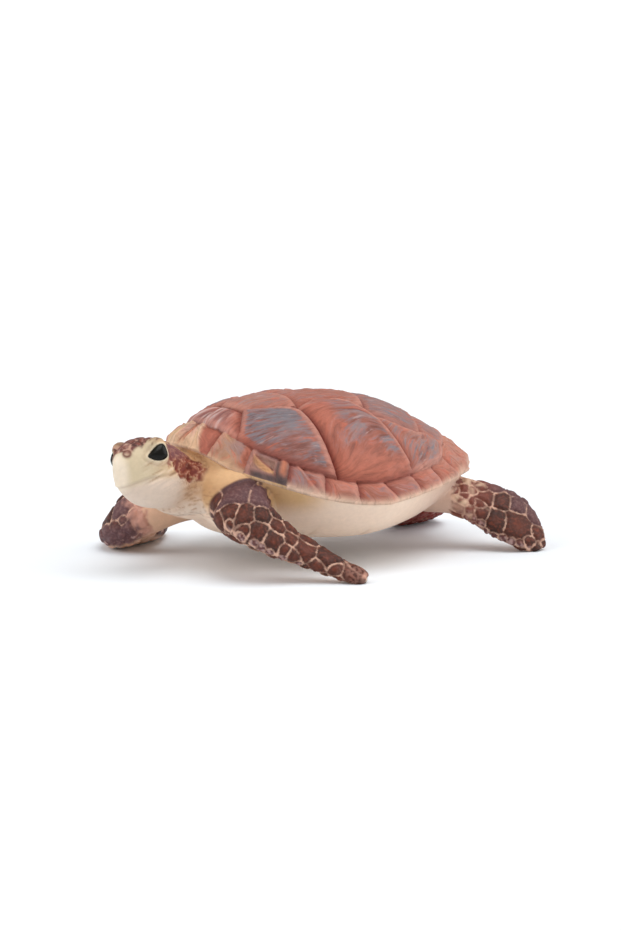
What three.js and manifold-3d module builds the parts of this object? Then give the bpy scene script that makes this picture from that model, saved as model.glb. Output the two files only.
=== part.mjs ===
// A hand-painted solid vinyl toy sea turtle (hawksbill), standing on its four flippers with its head turned
// a little to its left. Millimetres, +Z up, the head towards -Y, the turtle's own left towards +X.
// The flesh is modelled whole and parted by thin cuts into neck, head, torso, flippers and tail. The shell is
// one casting whose scutes stand proud of it, and the glossy eyes sit in their sockets.
import * as THREE from "three";
import { mergeVertices } from "three/addons/utils/BufferGeometryUtils.js";
import Module from "manifold-3d";

const wasm = await Module();
wasm.setup();

// ---- driving dimensions ----------------------------------------------------------------------------------
const GAP = 0.3; // between touching nodes
const SHELL_LENGTH = 63;
const SHELL_WIDTH = 50;
const SHELL_TOP = 29.3; // crown of the dome above the floor, without the scutes
const RIM_SIDE = 12.2; // lower edge of the rim at the flanks
const RIM_FRONT_RISE = 10.2; // how much higher it is over the neck
const RIM_REAR_RISE = 3.5; // and at the tail
const RIM_THICKNESS = 0.6;
const BELLY_FRONT = 4.6; // underside of the plastron, below the chest
const BELLY_REAR = 7.2; // and by the tail
const MARGINALS = 12; // scutes on each side of the rim, behind the nuchal
const NUCHAL_ANGLE = 5.5; // half the nuchal, in degrees round the rim
const HEAD_AT = new THREE.Vector3(2.4, -36.1, 18.6); // middle of the head, level with the beak's cutting edge
const HEAD_YAW = 20; // degrees to the turtle's left
const HEAD_ROLL = 11; // degrees, its right cheek down
const EYE_AT = [3.5, 4.6, 3.1]; // forward, sideways and up in the head's own frame
const EYE_LENGTH = 4.2;
const EYE_HEIGHT = 2.9;
const EYE_LEAN = 0.4; // how far its top leans back
const LID = 0.85; // how far the lids reach round the eye
const LID_RISE = -0.35; // their height against the eye's own face

const HALF_LENGTH = SHELL_LENGTH / 2;
const HALF_WIDTH = SHELL_WIDTH / 2;
const radians = THREE.MathUtils.degToRad;
const lerp = THREE.MathUtils.lerp;

// ---- closed meshes and solids ----------------------------------------------------------------------------
// Joins rings of equally many points into a closed surface that ends in a point at either end.
function skinOfRings(rings) {
  const count = rings[0].length;
  const middle = (ring) => ring.reduce((sum, p) => sum.add(p), new THREE.Vector3()).divideScalar(count);
  const points = [middle(rings[0]), ...rings.flat(), middle(rings.at(-1))];
  const last = points.length - 1;
  const at = (ring, i) => 1 + ring * count + (i % count);
  const index = [];
  for (let i = 0; i < count; i++) {
    index.push(0, at(0, i + 1), at(0, i));
    index.push(last, at(rings.length - 1, i), at(rings.length - 1, i + 1));
    for (let ring = 0; ring + 1 < rings.length; ring++) {
      index.push(at(ring, i), at(ring, i + 1), at(ring + 1, i + 1));
      index.push(at(ring, i), at(ring + 1, i + 1), at(ring + 1, i));
    }
  }
  return new THREE.BufferGeometry().setFromPoints(points).setIndex(index);
}

// A closed geometry as a solid, turned face out if it was made inside out.
function solidOf(geometry) {
  const bare = geometry.clone();
  bare.deleteAttribute("normal");
  bare.deleteAttribute("uv");
  const merged = mergeVertices(bare, 1e-4);
  const build = (triangles) =>
    new wasm.Manifold(
      new wasm.Mesh({
        numProp: 3,
        vertProperties: new Float32Array(merged.attributes.position.array),
        triVerts: new Uint32Array(triangles),
      }),
    );
  const triangles = Array.from(merged.index.array);
  const made = build(triangles);
  return made.volume() > 0 ? made : build(triangles.reverse());
}

const union = (solids) => solids.reduce((whole, next) => whole.add(next));
const biggest = (solid) => solid.decompose().reduce((a, b) => (a.volume() > b.volume() ? a : b));

function geometryOf(solid) {
  const mesh = solid.getMesh();
  const points = new Float32Array(mesh.numVert * 3);
  for (let i = 0; i < mesh.numVert; i++)
    points.set(mesh.vertProperties.subarray(i * mesh.numProp, i * mesh.numProp + 3), i * 3);
  const geometry = new THREE.BufferGeometry();
  geometry.setAttribute("position", new THREE.BufferAttribute(points, 3));
  geometry.setIndex(new THREE.BufferAttribute(mesh.triVerts, 1));
  geometry.computeVertexNormals();
  return geometry;
}

// ---- the shell's surface ---------------------------------------------------------------------------------
// A point of the shell is given by its share of the way from the middle to the rim and its angle round the
// rim, which is 0 over the neck, 180 degrees at the tail and positive on the turtle's left.
const taper = (y) => 1 - 0.33 * Math.max(0, y / HALF_LENGTH);

function plan(share, angle) {
  const y = -HALF_LENGTH * share * Math.cos(angle);
  return new THREE.Vector2(HALF_WIDTH * share * Math.sin(angle) * taper(y), y);
}

function shareAndAngle(x, y) {
  const across = x / (HALF_WIDTH * taper(y));
  const forward = -y / HALF_LENGTH;
  return [Math.hypot(across, forward), Math.atan2(across, forward)];
}

function rimHeight(angle) {
  const c = Math.cos(angle);
  return RIM_SIDE + (c > 0 ? RIM_FRONT_RISE * c ** 2 : -RIM_REAR_RISE * c);
}

function domeHeight(share, angle) {
  const roundness = 2.9 + 0.9 * Math.cos(angle);
  const fill = Math.max(0, 1 - share ** roundness) ** 1.05;
  return lerp(rimHeight(angle) + RIM_THICKNESS, SHELL_TOP, fill);
}

// A point on the dome, lifted off it along its normal.
function onDome(x, y, lift = 0) {
  const height = (px, py) => {
    const [share, angle] = shareAndAngle(px, py);
    return domeHeight(Math.min(share, 1), angle);
  };
  const step = 0.2;
  const slopeX = (height(x + step, y) - height(x - step, y)) / (2 * step);
  const slopeY = (height(x, y + step) - height(x, y - step)) / (2 * step);
  const normal = new THREE.Vector3(-slopeX, -slopeY, 1).normalize();
  return new THREE.Vector3(x, y, height(x, y)).addScaledVector(normal, lift);
}

// The surface that closes the shell below, which the flesh meets.
const undersideHeight = (share, angle) => lerp(17, rimHeight(angle), share ** 2);

const marginAngle = (i) => radians(NUCHAL_ANGLE + ((180 - NUCHAL_ANGLE) * i) / MARGINALS);

// The rim's saw teeth: each scute of the rear half ends in a point.
function toothReach(angle) {
  const side = Math.abs(angle);
  const place = ((side - marginAngle(0)) / (marginAngle(1) - marginAngle(0))) % 1;
  const rear = THREE.MathUtils.smoothstep(side, radians(80), radians(150));
  return side < marginAngle(0) ? 0 : 0.035 * rear * place;
}

function shellBody() {
  const angles = [0];
  for (const side of [1, -1]) {
    const found = [];
    for (let i = 0; i <= MARGINALS; i++) {
      found.push(marginAngle(i) - (i === MARGINALS ? 0 : 1e-3));
      if (i < MARGINALS) found.push(marginAngle(i) + 0.02, marginAngle(i + 0.55));
    }
    if (side > 0) angles.push(...found);
    else angles.push(...found.slice(0, -1).reverse().map((a) => -a));
  }
  const top = [0.12, 0.3, 0.48, 0.64, 0.78, 0.89, 0.96];
  const below = [0.94, 0.7, 0.35];
  const ring = (share, height) =>
    angles.map((a) => {
      const p = plan(share, a);
      return new THREE.Vector3(p.x, p.y, height(share, a));
    });
  const rimRing = (height) =>
    angles.map((a) => {
      const p = plan(1 + toothReach(a), a);
      return new THREE.Vector3(p.x, p.y, height(a));
    });
  return solidOf(
    skinOfRings([
      ...top.map((share) => ring(share, domeHeight)),
      rimRing((a) => rimHeight(a) + RIM_THICKNESS),
      rimRing((a) => rimHeight(a)),
      ...below.map((share) => ring(share, undersideHeight)),
    ]),
  );
}

// ---- scutes ----------------------------------------------------------------------------------------------
const GROOVE = 0.35; // half the groove between two scutes
const SCUTE_ROOT = 0.7; // how deep a scute is sunk
const MARGINAL_ROOT = 0.35;
const SEAM_STEP = 3.4; // longest straight stretch of a scute's edge

// A scute over an outline of plan points: low in front, high behind, crowned in the middle.
function scute(outline, frontLift, rearLift, crown, root = SCUTE_ROOT) {
  const edge = [];
  outline.forEach((a, i) => {
    const b = outline[(i + 1) % outline.length];
    const parts = Math.max(1, Math.round(a.distanceTo(b) / SEAM_STEP));
    for (let k = 0; k < parts; k++) edge.push(a.clone().lerp(b, k / parts));
  });
  const centre = edge.reduce((sum, p) => sum.add(p), new THREE.Vector2()).divideScalar(edge.length);
  const front = Math.min(...edge.map((p) => p.y));
  const rear = Math.max(...edge.map((p) => p.y));
  const lift = (p) => lerp(frontLift, rearLift, (p.y - front) / (rear - front));
  const ring = (size, offset) =>
    edge.map((p) => {
      const reach = p.distanceTo(centre);
      const q = centre.clone().lerp(p, Math.max(0.1, size - GROOVE / reach));
      return onDome(q.x, q.y, offset(q));
    });
  return solidOf(
    skinOfRings([
      ring(0.9, () => -root),
      ring(1, () => -root),
      ring(1, (q) => lift(q)),
      ring(0.72, (q) => lift(q) + crown * 0.75),
      ring(0.3, (q) => lift(q) + crown),
    ]),
  );
}

// Seams across the back, on the midline and at their ends, and the outer corner of each vertebral scute.
const MIDLINE = [-27.6, -19, -8, 6, 17, 25.4];
const toPoint = (p) => p && new THREE.Vector2(...p);
const SEAM_ENDS = [[3, -27.2], [4.4, -20], [8.6, -10.8], [8.6, 2.8], [8.4, 14.4]].map(toPoint);
const CORNERS = [null, [5.4, -18.5], [9.6, -9.8], [10.2, 3], [9.6, 15.8]].map(toPoint);
const COSTAL_FEET = [6, 32, 69.5, 102, 131]; // degrees at which the seams between costals meet the margin

const marginShare = (angle) => 0.865 + 0.05 * Math.abs(Math.sin(angle));
const onMargin = (angle) => plan(marginShare(angle), angle);
const mirrored = (outline) => outline.map((p) => new THREE.Vector2(-p.x, p.y)).reverse();

function vertebralScutes() {
  const made = [];
  for (let i = 0; i < 5; i++) {
    const half = [SEAM_ENDS[i]];
    if (CORNERS[i]) half.push(CORNERS[i]);
    if (i < 4) half.push(SEAM_ENDS[i + 1]);
    else half.push(onMargin(radians(COSTAL_FEET[4])), onMargin(radians(154)));
    const outline = [
      new THREE.Vector2(0, MIDLINE[i]),
      ...half,
      new THREE.Vector2(0, MIDLINE[i + 1]),
      ...mirrored(half),
    ];
    made.push(scute(outline, 0.25, 0.55, 0.5));
  }
  return made;
}

function costalScutes() {
  const made = [];
  for (let i = 0; i < 4; i++) {
    const from = radians(COSTAL_FEET[i]);
    const to = radians(COSTAL_FEET[i + 1]);
    const outline = [CORNERS[i] ?? SEAM_ENDS[0], SEAM_ENDS[i + 1], CORNERS[i + 1]];
    for (const share of [1, 0.66, 0.33, 0]) outline.push(onMargin(lerp(from, to, share)));
    if (!CORNERS[i]) outline.pop(); // the first costal comes to a point in front
    made.push(scute(outline, 0.25, 0.8, 0.5), scute(mirrored(outline), 0.25, 0.8, 0.5));
  }
  return made;
}

function marginalScutes() {
  const made = [];
  const outer = 0.985;
  for (let i = 0; i < MARGINALS; i++) {
    const [from, to] = [marginAngle(i), marginAngle(i + 1)];
    const outline = [
      onMargin(from),
      onMargin(lerp(from, to, 0.5)),
      onMargin(to),
      plan(outer, to),
      plan(outer, lerp(from, to, 0.5)),
      plan(outer, from),
    ];
    for (const shape of [outline, mirrored(outline)])
      made.push(scute(shape, 0.2, 0.4, 0.15, MARGINAL_ROOT));
  }
  const edge = radians(NUCHAL_ANGLE);
  const nuchal = [onMargin(edge), plan(outer, edge), plan(outer, -edge), onMargin(-edge)];
  made.push(scute(nuchal, 0.2, 0.4, 0.15, MARGINAL_ROOT));
  return made;
}

// ---- flesh -----------------------------------------------------------------------------------------------
const FLANK = 4.5; // how long the underside stays flat before it rises to the rim

// A torso that fills the shell from just inside the rim down to the plastron; grow swells it.
function torso(grow = 0) {
  const angles = Array.from({ length: 40 }, (_, i) => (i * 2 * Math.PI) / 40);
  const ring = (share, height) =>
    angles.map((a) => {
      const p = plan(share, a);
      p.setLength(p.length() + grow);
      return new THREE.Vector3(p.x, p.y, height(a, p.y));
    });
  const inset = 0.955;
  const belly = (y) => lerp(BELLY_FRONT, BELLY_REAR, Math.max(0, y / HALF_LENGTH) ** 1.4) - grow;
  const above = [0.3, 0.6, 0.85, inset];
  const below = [0.93, 0.88, 0.8, 0.7, 0.55, 0.3];
  return solidOf(
    skinOfRings([
      ...above.map((share) => ring(share, (a) => undersideHeight(share, a) - GAP + grow)),
      ...below.map((share) =>
        ring(share, (a, y) => lerp(belly(y), rimHeight(a) - GAP - 0.4, (share / inset) ** FLANK)),
      ),
    ]),
  );
}

// A limb or neck along a smooth spine. Each station holds x, y, z, half its breadth, half its thickness and
// its roll in degrees, which lifts the edge on the left of the way it grows; grow swells the whole.
function limb(stations, grow = 0, steps = 3, around = 16, power = 2.3) {
  const spine = new THREE.CatmullRomCurve3(stations.map(([x, y, z]) => new THREE.Vector3(x, y, z)));
  const count = stations.length - 1;
  const rings = [];
  for (let k = 0; k <= count * steps; k++) {
    const u = k / (count * steps);
    const i = Math.min(count - 1, Math.floor(u * count));
    const share = u * count - i;
    const value = (column) => lerp(stations[i][column], stations[i + 1][column], share);
    const centre = spine.getPoint(u);
    const along = spine.getTangent(u);
    const side = new THREE.Vector3(0, 0, 1).cross(along).normalize();
    const up = along.clone().cross(side);
    const roll = radians(value(5));
    const breadth = side.clone().multiplyScalar(Math.cos(roll)).addScaledVector(up, Math.sin(roll));
    const depth = along.clone().cross(breadth);
    rings.push(
      Array.from({ length: around }, (_, j) => {
        const a = (j * 2 * Math.PI) / around;
        const c = Math.sign(Math.cos(a)) * Math.abs(Math.cos(a)) ** (2 / power);
        const s = Math.sign(Math.sin(a)) * Math.abs(Math.sin(a)) ** (2 / power);
        const across = breadth.clone().multiplyScalar(c * (value(3) + grow));
        return centre.clone().add(across).addScaledVector(depth, s * (value(4) + grow));
      }),
    );
  }
  return solidOf(skinOfRings(rings));
}

const FRONT_LEFT = [
  [8, -16.5, 12.8, 4.4, 4.2, 0],
  [11.5, -21.5, 13, 5, 4.1, 10],
  [15.2, -25.6, 12.3, 5.1, 4, 30],
  [19.6, -25.4, 10.4, 4.3, 2.9, 42],
  [22.2, -21.8, 7.6, 3.8, 1.9, 42],
  [24, -17.4, 5.1, 2.9, 1.6, 38],
  [27.2, -13.2, 2.6, 2.2, 1.4, 30],
  [29.9, -10.4, 1.1, 1.8, 1.3, 20],
  [31, -9.4, 0.7, 1.1, 0.9, 15],
];
const FRONT_RIGHT = [
  [-7, -16.5, 11.2, 4.2, 4, 0],
  [-12, -22.5, 9.6, 3.9, 3.5, -10],
  [-16.8, -28, 7.4, 4.6, 4, -40],
  [-20.2, -29.6, 5.1, 4.9, 3.6, -45],
  [-23.8, -27.2, 3.2, 5.3, 2.8, -12],
  [-28.2, -22.6, 2, 4.8, 2, -4],
  [-32, -18, 1.4, 3.2, 1.5, -8],
  [-34, -15.6, 1, 1.5, 0.9, -8],
];
const REAR_LEFT = [
  [4, 18.5, 10, 4, 3.4, 0],
  [9.5, 24.5, 9.8, 4.5, 2.9, 20],
  [13.5, 28.8, 7.8, 4.8, 2.1, 38],
  [17.2, 32.2, 5.1, 4.9, 1.7, 45],
  [18.9, 34.8, 2.8, 4.1, 1.5, 45],
  [19.6, 37, 1.7, 2.6, 1.2, 40],
  [19.8, 38, 1.3, 1.3, 0.8, 40],
];
const REAR_RIGHT = [
  [-4, 18, 9.4, 4, 3.4, 0],
  [-7.5, 23.5, 7.6, 4.4, 2.9, -20],
  [-10.8, 28.2, 4.8, 4.8, 2.1, -38],
  [-14, 32, 2.8, 4.6, 1.7, -32],
  [-16.8, 35.4, 1.9, 3.6, 1.5, -25],
  [-18.2, 37.4, 1.4, 2.2, 1.1, -20],
  [-18.8, 38.3, 1.2, 1.2, 0.8, -20],
];
const TAIL = [
  [0, 20, 10.4, 3.4, 2.6, 0],
  [0, 25, 10.2, 2.6, 2, 0],
  [0, 29, 9.8, 1.5, 1.2, 0],
  [0, 31.2, 9.4, 0.6, 0.5, 0],
];
const NECK = [
  [0, -15, 11.8, 10, 7, 0],
  [0, -19.5, 12.2, 9.4, 6.9, 0],
  [0, -23.4, 14.2, 8.4, 6.5, 0],
  [0.4, -27.2, 16.2, 7.2, 5.9, 0],
  [1.4, -32, 17.2, 6.2, 5.5, 0],
];

// ---- the head --------------------------------------------------------------------------------------------
// Stations from nape to beak in the head's own frame: forward, half width, top, bottom.
const HEAD = [
  [-9.4, 4.6, 2.2, -6],
  [-7.8, 5.8, 3.1, -7],
  [-5, 6.3, 4.4, -7.3],
  [-2, 6.3, 5.7, -7.1],
  [1, 6, 5.7, -6.7],
  [3.6, 5.5, 5.5, -6],
  [5.8, 4.4, 5, -4.9],
  [7.6, 3.2, 4.4, -3.8],
  [9, 2.2, 3.7, -2.9],
  [9.9, 1.4, 2.7, -2.3],
  [10.3, 0.7, 1.3, -1.8],
];
const headPlace = new THREE.Matrix4()
  .makeRotationZ(radians(HEAD_YAW))
  .multiply(new THREE.Matrix4().makeRotationY(radians(-HEAD_ROLL)))
  .setPosition(HEAD_AT);
// In the head's frame forward is -Y and its left is +X.
const inHead = (forward, left, up) => new THREE.Vector3(left, -forward, up).applyMatrix4(headPlace);

function head(grow = 0) {
  const around = 20;
  const rings = HEAD.map(([forward, halfWidth, top, bottom]) => {
    const middle = (top + bottom) / 2;
    const half = (top - bottom) / 2 + grow;
    return Array.from({ length: around }, (_, j) => {
      const a = (j * 2 * Math.PI) / around;
      const c = Math.sign(Math.cos(a)) * Math.abs(Math.cos(a)) ** 0.85;
      const s = Math.sign(Math.sin(a)) * Math.abs(Math.sin(a)) ** 0.9;
      return inHead(forward, c * (halfWidth + grow), middle + s * half);
    });
  });
  return solidOf(skinOfRings(rings));
}

// An eye on one side of the head: a teardrop with its point forward and low, domed outward. Grow widens it
// and rise lifts its face, for the lid round it and the socket under it.
function eye(side, grow = 0, rise = grow) {
  const [forward, sideways, up] = EYE_AT;
  const outward = new THREE.Vector3(0.92, -0.32, 0.22).normalize();
  const ahead = new THREE.Vector3(0, -1, -0.25).cross(outward).cross(outward).negate().normalize();
  const upward = outward.clone().cross(ahead).negate();
  const around = 16;
  const ring = (size, depth) =>
    Array.from({ length: around }, (_, j) => {
      const a = (j * 2 * Math.PI) / around;
      const point = Math.max(0, Math.cos(a)) ** 6; // draws the front corner out
      const reach = size * (EYE_LENGTH * 0.45 * (1 + 0.28 * point) + grow);
      const height = size * (EYE_HEIGHT * 0.5 + grow);
      const along = reach * Math.cos(a) - EYE_LEAN * height * Math.max(0, Math.sin(a));
      const local = new THREE.Vector3(sideways, -forward, up)
        .addScaledVector(ahead, along)
        .addScaledVector(upward, height * Math.sin(a))
        .addScaledVector(outward, depth);
      return local.setX(local.x * side).applyMatrix4(headPlace);
    });
  return solidOf(
    skinOfRings([
      ring(0.5, -1.6 - grow),
      ring(0.8, -1.3 - grow),
      ring(1, -0.4),
      ring(0.98, 0.1 + rise),
      ring(0.82, 0.5 + rise),
      ring(0.45, 0.8 + rise),
    ]),
  );
}

// ---- assembly --------------------------------------------------------------------------------------------
const skinPaint = new THREE.MeshStandardMaterial({ color: 0xe9d3ab, roughness: 0.55, metalness: 0 });
const flipperPaint = new THREE.MeshStandardMaterial({ color: 0x5c3238, roughness: 0.5, metalness: 0 });
const shellPaint = new THREE.MeshStandardMaterial({ color: 0xbf7059, roughness: 0.55, metalness: 0 });
const eyePaint = new THREE.MeshStandardMaterial({ color: 0x14110f, roughness: 0.15, metalness: 0 });
const group = new THREE.Group();

function addNode(name, solid, material) {
  const mesh = new THREE.Mesh(geometryOf(solid), material);
  mesh.name = name;
  group.add(mesh);
}

const shell = biggest(
  union([shellBody(), ...vertebralScutes(), ...costalScutes(), ...marginalScutes()]),
);
const shellRoom = union([shell, shell.translate([0, 0, -GAP]), shell.translate([0, -2 * GAP, -GAP])]);
const ground = solidOf(new THREE.BoxGeometry(200, 200, 20).translate(0, 0, -10));
const swollenTorso = torso(GAP);
const swollenHead = head(GAP);
const parted = (solid) => biggest(solid.subtract(swollenTorso).subtract(shellRoom).subtract(ground));

addNode("carapace", shell, shellPaint);
addNode("torso", torso(), skinPaint);
addNode("neck", parted(limb(NECK, 0, 2).subtract(swollenHead)), skinPaint);
const liddedHead = union([head(), eye(1, LID, LID_RISE), eye(-1, LID, LID_RISE)]);
addNode("head", parted(liddedHead.subtract(eye(1, GAP)).subtract(eye(-1, GAP))), skinPaint);
addNode("eye_left", eye(1), eyePaint);
addNode("eye_right", eye(-1), eyePaint);
const neckRoom = limb(NECK, GAP, 2);
addNode("front_flipper_left", parted(limb(FRONT_LEFT).subtract(neckRoom)), flipperPaint);
addNode("front_flipper_right", parted(limb(FRONT_RIGHT).subtract(neckRoom)), flipperPaint);
addNode("rear_flipper_left", parted(limb(REAR_LEFT)), flipperPaint);
addNode("rear_flipper_right", parted(limb(REAR_RIGHT)), flipperPaint);
addNode("tail", parted(limb(TAIL)), flipperPaint);

// The part's origin is on the floor under the middle of its box.
const middle = new THREE.Box3().setFromObject(group).getCenter(new THREE.Vector3());
for (const mesh of group.children) mesh.geometry.translate(-middle.x, -middle.y, 0);

export default group;
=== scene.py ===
import math

import bmesh
import bpy
from mathutils import Matrix, Vector, noise
from mathutils.kdtree import KDTree


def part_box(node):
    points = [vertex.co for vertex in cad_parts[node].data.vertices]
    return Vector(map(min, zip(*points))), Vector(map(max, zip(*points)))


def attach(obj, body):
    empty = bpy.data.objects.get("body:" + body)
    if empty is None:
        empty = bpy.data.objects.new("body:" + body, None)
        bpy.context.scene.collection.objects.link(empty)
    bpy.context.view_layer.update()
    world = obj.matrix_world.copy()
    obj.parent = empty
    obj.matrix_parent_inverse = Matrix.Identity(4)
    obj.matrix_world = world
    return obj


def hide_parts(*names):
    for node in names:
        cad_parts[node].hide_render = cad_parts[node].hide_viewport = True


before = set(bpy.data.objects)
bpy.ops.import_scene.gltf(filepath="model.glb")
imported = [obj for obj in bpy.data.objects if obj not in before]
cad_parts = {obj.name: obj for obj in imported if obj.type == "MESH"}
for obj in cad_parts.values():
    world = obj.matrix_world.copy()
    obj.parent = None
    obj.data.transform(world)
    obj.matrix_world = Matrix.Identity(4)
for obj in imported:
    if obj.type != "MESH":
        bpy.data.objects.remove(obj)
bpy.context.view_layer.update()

# ---- studio ------------------------------------------------------------------------------------------------
# A small toy on a pale sweep, seen through a long lens from low on its left and a little ahead of it.
# One wide soft box hangs overhead, a second stands to the left of the camera, and a pale room fills the rest.
MM = 0.001
SHELL_HALF_LENGTH = 31.5
shell_low, shell_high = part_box("carapace")
# Sizes below are in millimetres from the floor under the middle of the shell, the head towards -Y.
under_shell = Vector(((shell_low.x + shell_high.x) / 2, shell_low.y + SHELL_HALF_LENGTH * MM, 0))


def placed(point):
    return Vector(point) * MM + under_shell


def direction(turn, rise):
    """Out from the toy, at a turn from straight ahead towards its left and a rise, both in degrees."""
    turn, rise = math.radians(turn), math.radians(rise)
    return Vector((math.sin(turn) * math.cos(rise), -math.cos(turn) * math.cos(rise), math.sin(rise)))


def set_out(name, data):
    """An object for a camera, light or mesh, standing in the scene."""
    made = bpy.data.objects.new(name, data)
    bpy.context.scene.collection.objects.link(made)
    return made


def finished(mesh, name):
    data = bpy.data.meshes.new(name)
    mesh.to_mesh(data)
    mesh.free()
    return data


CAMERA_TURN = 58
CAMERA_RISE = 8.5
CAMERA_AWAY = 500
LENS = 103.43
aim = Vector((-2.76, 0.07, 15.9))
towards_camera = direction(CAMERA_TURN, CAMERA_RISE)
camera = set_out("camera", bpy.data.cameras.new("camera"))
camera.location = placed(aim + towards_camera * CAMERA_AWAY)
camera.rotation_euler = towards_camera.to_track_quat("Z", "Y").to_euler()
camera.data.lens = LENS
camera.data.sensor_width = 36
camera.data.clip_start = 0.02
camera.data.clip_end = 20
bpy.context.scene.camera = camera


def soft_light(name, turn, rise, spread, strength):
    """A wide soft box far off; its strength is the share of white that it alone gives paper facing it."""
    data = bpy.data.lights.new(name, "SUN")
    data.angle = math.radians(spread)
    data.energy = strength * math.pi
    lamp = set_out(name, data)
    out = direction(turn, rise)
    lamp.location = placed((0, 0, 12)) + out
    lamp.rotation_euler = out.to_track_quat("Z", "Y").to_euler()


soft_light("overhead_box", 100, 76, 50, 0.5)
soft_light("left_box", -12, 34, 40, 0.28)
soft_light("back_box", 150, 26, 46, 0.25)

# The room is dimmer than the white backdrop that stands all round it, just above the floor.
room = bpy.data.worlds.new("pale_room")
bpy.context.scene.world = room
room.use_nodes = True
room_nodes, room_links = room.node_tree.nodes, room.node_tree.links
room_side = room_nodes.new("ShaderNodeTexCoord")
room_height = room_nodes.new("ShaderNodeSeparateXYZ")
room_light = room_nodes.new("ShaderNodeMapRange")
room_light.inputs["From Min"].default_value = 0.06
room_light.inputs["From Max"].default_value = 0.12
room_light.inputs["To Min"].default_value = 1.05
room_light.inputs["To Max"].default_value = 0.58
room_links.new(room_side.outputs["Generated"], room_height.inputs["Vector"])
room_links.new(room_height.outputs["Z"], room_light.inputs["Value"])
room_links.new(room_light.outputs["Result"], room_nodes["Background"].inputs["Strength"])
room_nodes["Background"].inputs["Color"].default_value = (1, 1, 1, 1)
bpy.context.scene.view_settings.view_transform = "Standard"

floor_mesh = bmesh.new()
bmesh.ops.create_grid(floor_mesh, x_segments=1, y_segments=1, size=6)
floor_data = finished(floor_mesh, "floor")
floor = set_out("floor", floor_data)
floor_paper = bpy.data.materials.new("floor_paper")
floor_paper.use_nodes = True
floor_shader = floor_paper.node_tree.nodes["Principled BSDF"]
floor_shader.inputs["Base Color"].default_value = (0.83, 0.865, 0.9, 1)
floor_shader.inputs["Roughness"].default_value = 0.7
floor_shader.inputs["Specular IOR Level"].default_value = 0.2
floor_data.materials.append(floor_paper)

# ---- shell -------------------------------------------------------------------------------------------------
# One solid vinyl casting, its scutes modelled as low pillows with raised strands that fan across them and a
# thicker lip at the rear edge. It is sprayed salmon, its seams are washed dark red and darkened further by
# painted shade under the lips, the lips' edges are paled partly by dry brushing and partly as painted
# highlight, its strands are dry brushed blue grey, and the rim fades to the cream of the belly.
SHELL_HALF_WIDTH = 25.0
SHELL_TOP = 29.3
RIM_THICKNESS = 0.6
MARGINAL_SEAMS = (2.5, 19, 35.5, 52.5, 66, 78, 91, 104.5, 118, 132, 147, 163, 180)  # degrees round the rim
MIDLINE_SEAMS = (-27.6, -18.8, -8, 6, 17)
CORNER_SEAMS = (-27.6, -18.5, -9.8, 2.4, 15)  # where the seams across the back meet the costals, along Y
BACK_EDGE_Y = (-24.3, -23.6, -21.7, -18.5, -15, -12.5, -10, -8.8, -5.6, 0, 2.4, 3.5, 9, 13, 15.6, 18, 20.5)
BACK_EDGE_X = (12, 9.6, 8.2, 4, 5.9, 7.4, 8.2, 7.8, 6.5, 7.6, 10.4, 11.6, 12.7, 12, 10.6, 10.4, 11.6)
COSTAL_CORNERS = (-10.2, 2.4)  # where the seams behind the first two costals start, along Y
COSTAL_FEET = (70.5, 105)  # degrees round the rim where they end
COSTAL_BOW = (0.2, 0.3)  # how far back each of them bows
MARGIN_TURNS = (0, 22, 40, 75, 100, 124, 131, 139, 160, 180)
MARGIN_SHARES = (0.845, 0.86, 0.885, 0.925, 0.915, 0.906, 0.884, 0.84, 0.81, 0.81)


def ease(low, high, value):
    share = min(1.0, max(0.0, (value - low) / (high - low)))
    return share * share * (3 - 2 * share)


def mix(a, b, share):
    return a + (b - a) * share


def blend(a, b, share):
    return tuple(x + (y - x) * share for x, y in zip(a, b))


def bump(centre, width, value):
    return math.exp(-(((value - centre) / width) ** 2))


def grain(x, y, seed):
    return noise.noise(Vector((x, y, seed)))


def stepped(xs, ys, x):
    if x <= xs[0]:
        return ys[0]
    for i in range(1, len(xs)):
        if x <= xs[i]:
            return mix(ys[i - 1], ys[i], (x - xs[i - 1]) / (xs[i] - xs[i - 1]))
    return ys[-1]


def sprayed(red, green, blue):
    """A paint's 8-bit display values, as the linear colour that a shader reads."""
    shares = [value / 255 for value in (red, green, blue)]
    return tuple(((share + 0.055) / 1.055) ** 2.4 if share > 10 / 255 else share / 12.92 for share in shares)


def narrowing(y):
    return 1 - 0.33 * max(0, y / SHELL_HALF_LENGTH)


def corner_cut(angle):
    """The rim is cut back a little in front and behind."""
    turn = abs(math.degrees(angle))
    return 1 - 0.055 * (1 - ease(32, 64, turn)) - 0.015 * ease(140, 175, turn)


def plan_point(share, angle):
    share *= corner_cut(angle)
    y = -SHELL_HALF_LENGTH * share * math.cos(angle)
    return SHELL_HALF_WIDTH * share * math.sin(angle) * narrowing(y), y


def share_and_angle(x, y):
    across = x / (SHELL_HALF_WIDTH * narrowing(y))
    forward = -y / SHELL_HALF_LENGTH
    angle = math.atan2(across, forward)
    return math.hypot(across, forward) / corner_cut(angle), angle


def rim_height(angle):
    c = math.cos(angle)
    turn = abs(math.degrees(angle))
    return 12.2 + (10.2 * c * c if c > 0 else -2.4 * c) - 1.1 * bump(33, 14, turn) - 0.5 * bump(0, 16, turn)


def dome_height(share, angle):
    fill = max(0.0, 1 - min(share, 1) ** (2.9 + 0.9 * math.cos(angle))) ** 1.05
    swell = 0.9 * bump(0.87, 0.1, share) * ease(130, 165, abs(math.degrees(angle)))
    return mix(rim_height(angle) + RIM_THICKNESS, SHELL_TOP, fill) + swell


def height_at(x, y):
    return dome_height(*share_and_angle(x, y))


def underside_height(share, angle):
    return mix(17, rim_height(angle), share * share)


def margin_share(angle):
    return stepped(MARGIN_TURNS, MARGIN_SHARES, abs(math.degrees(angle)))


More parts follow.
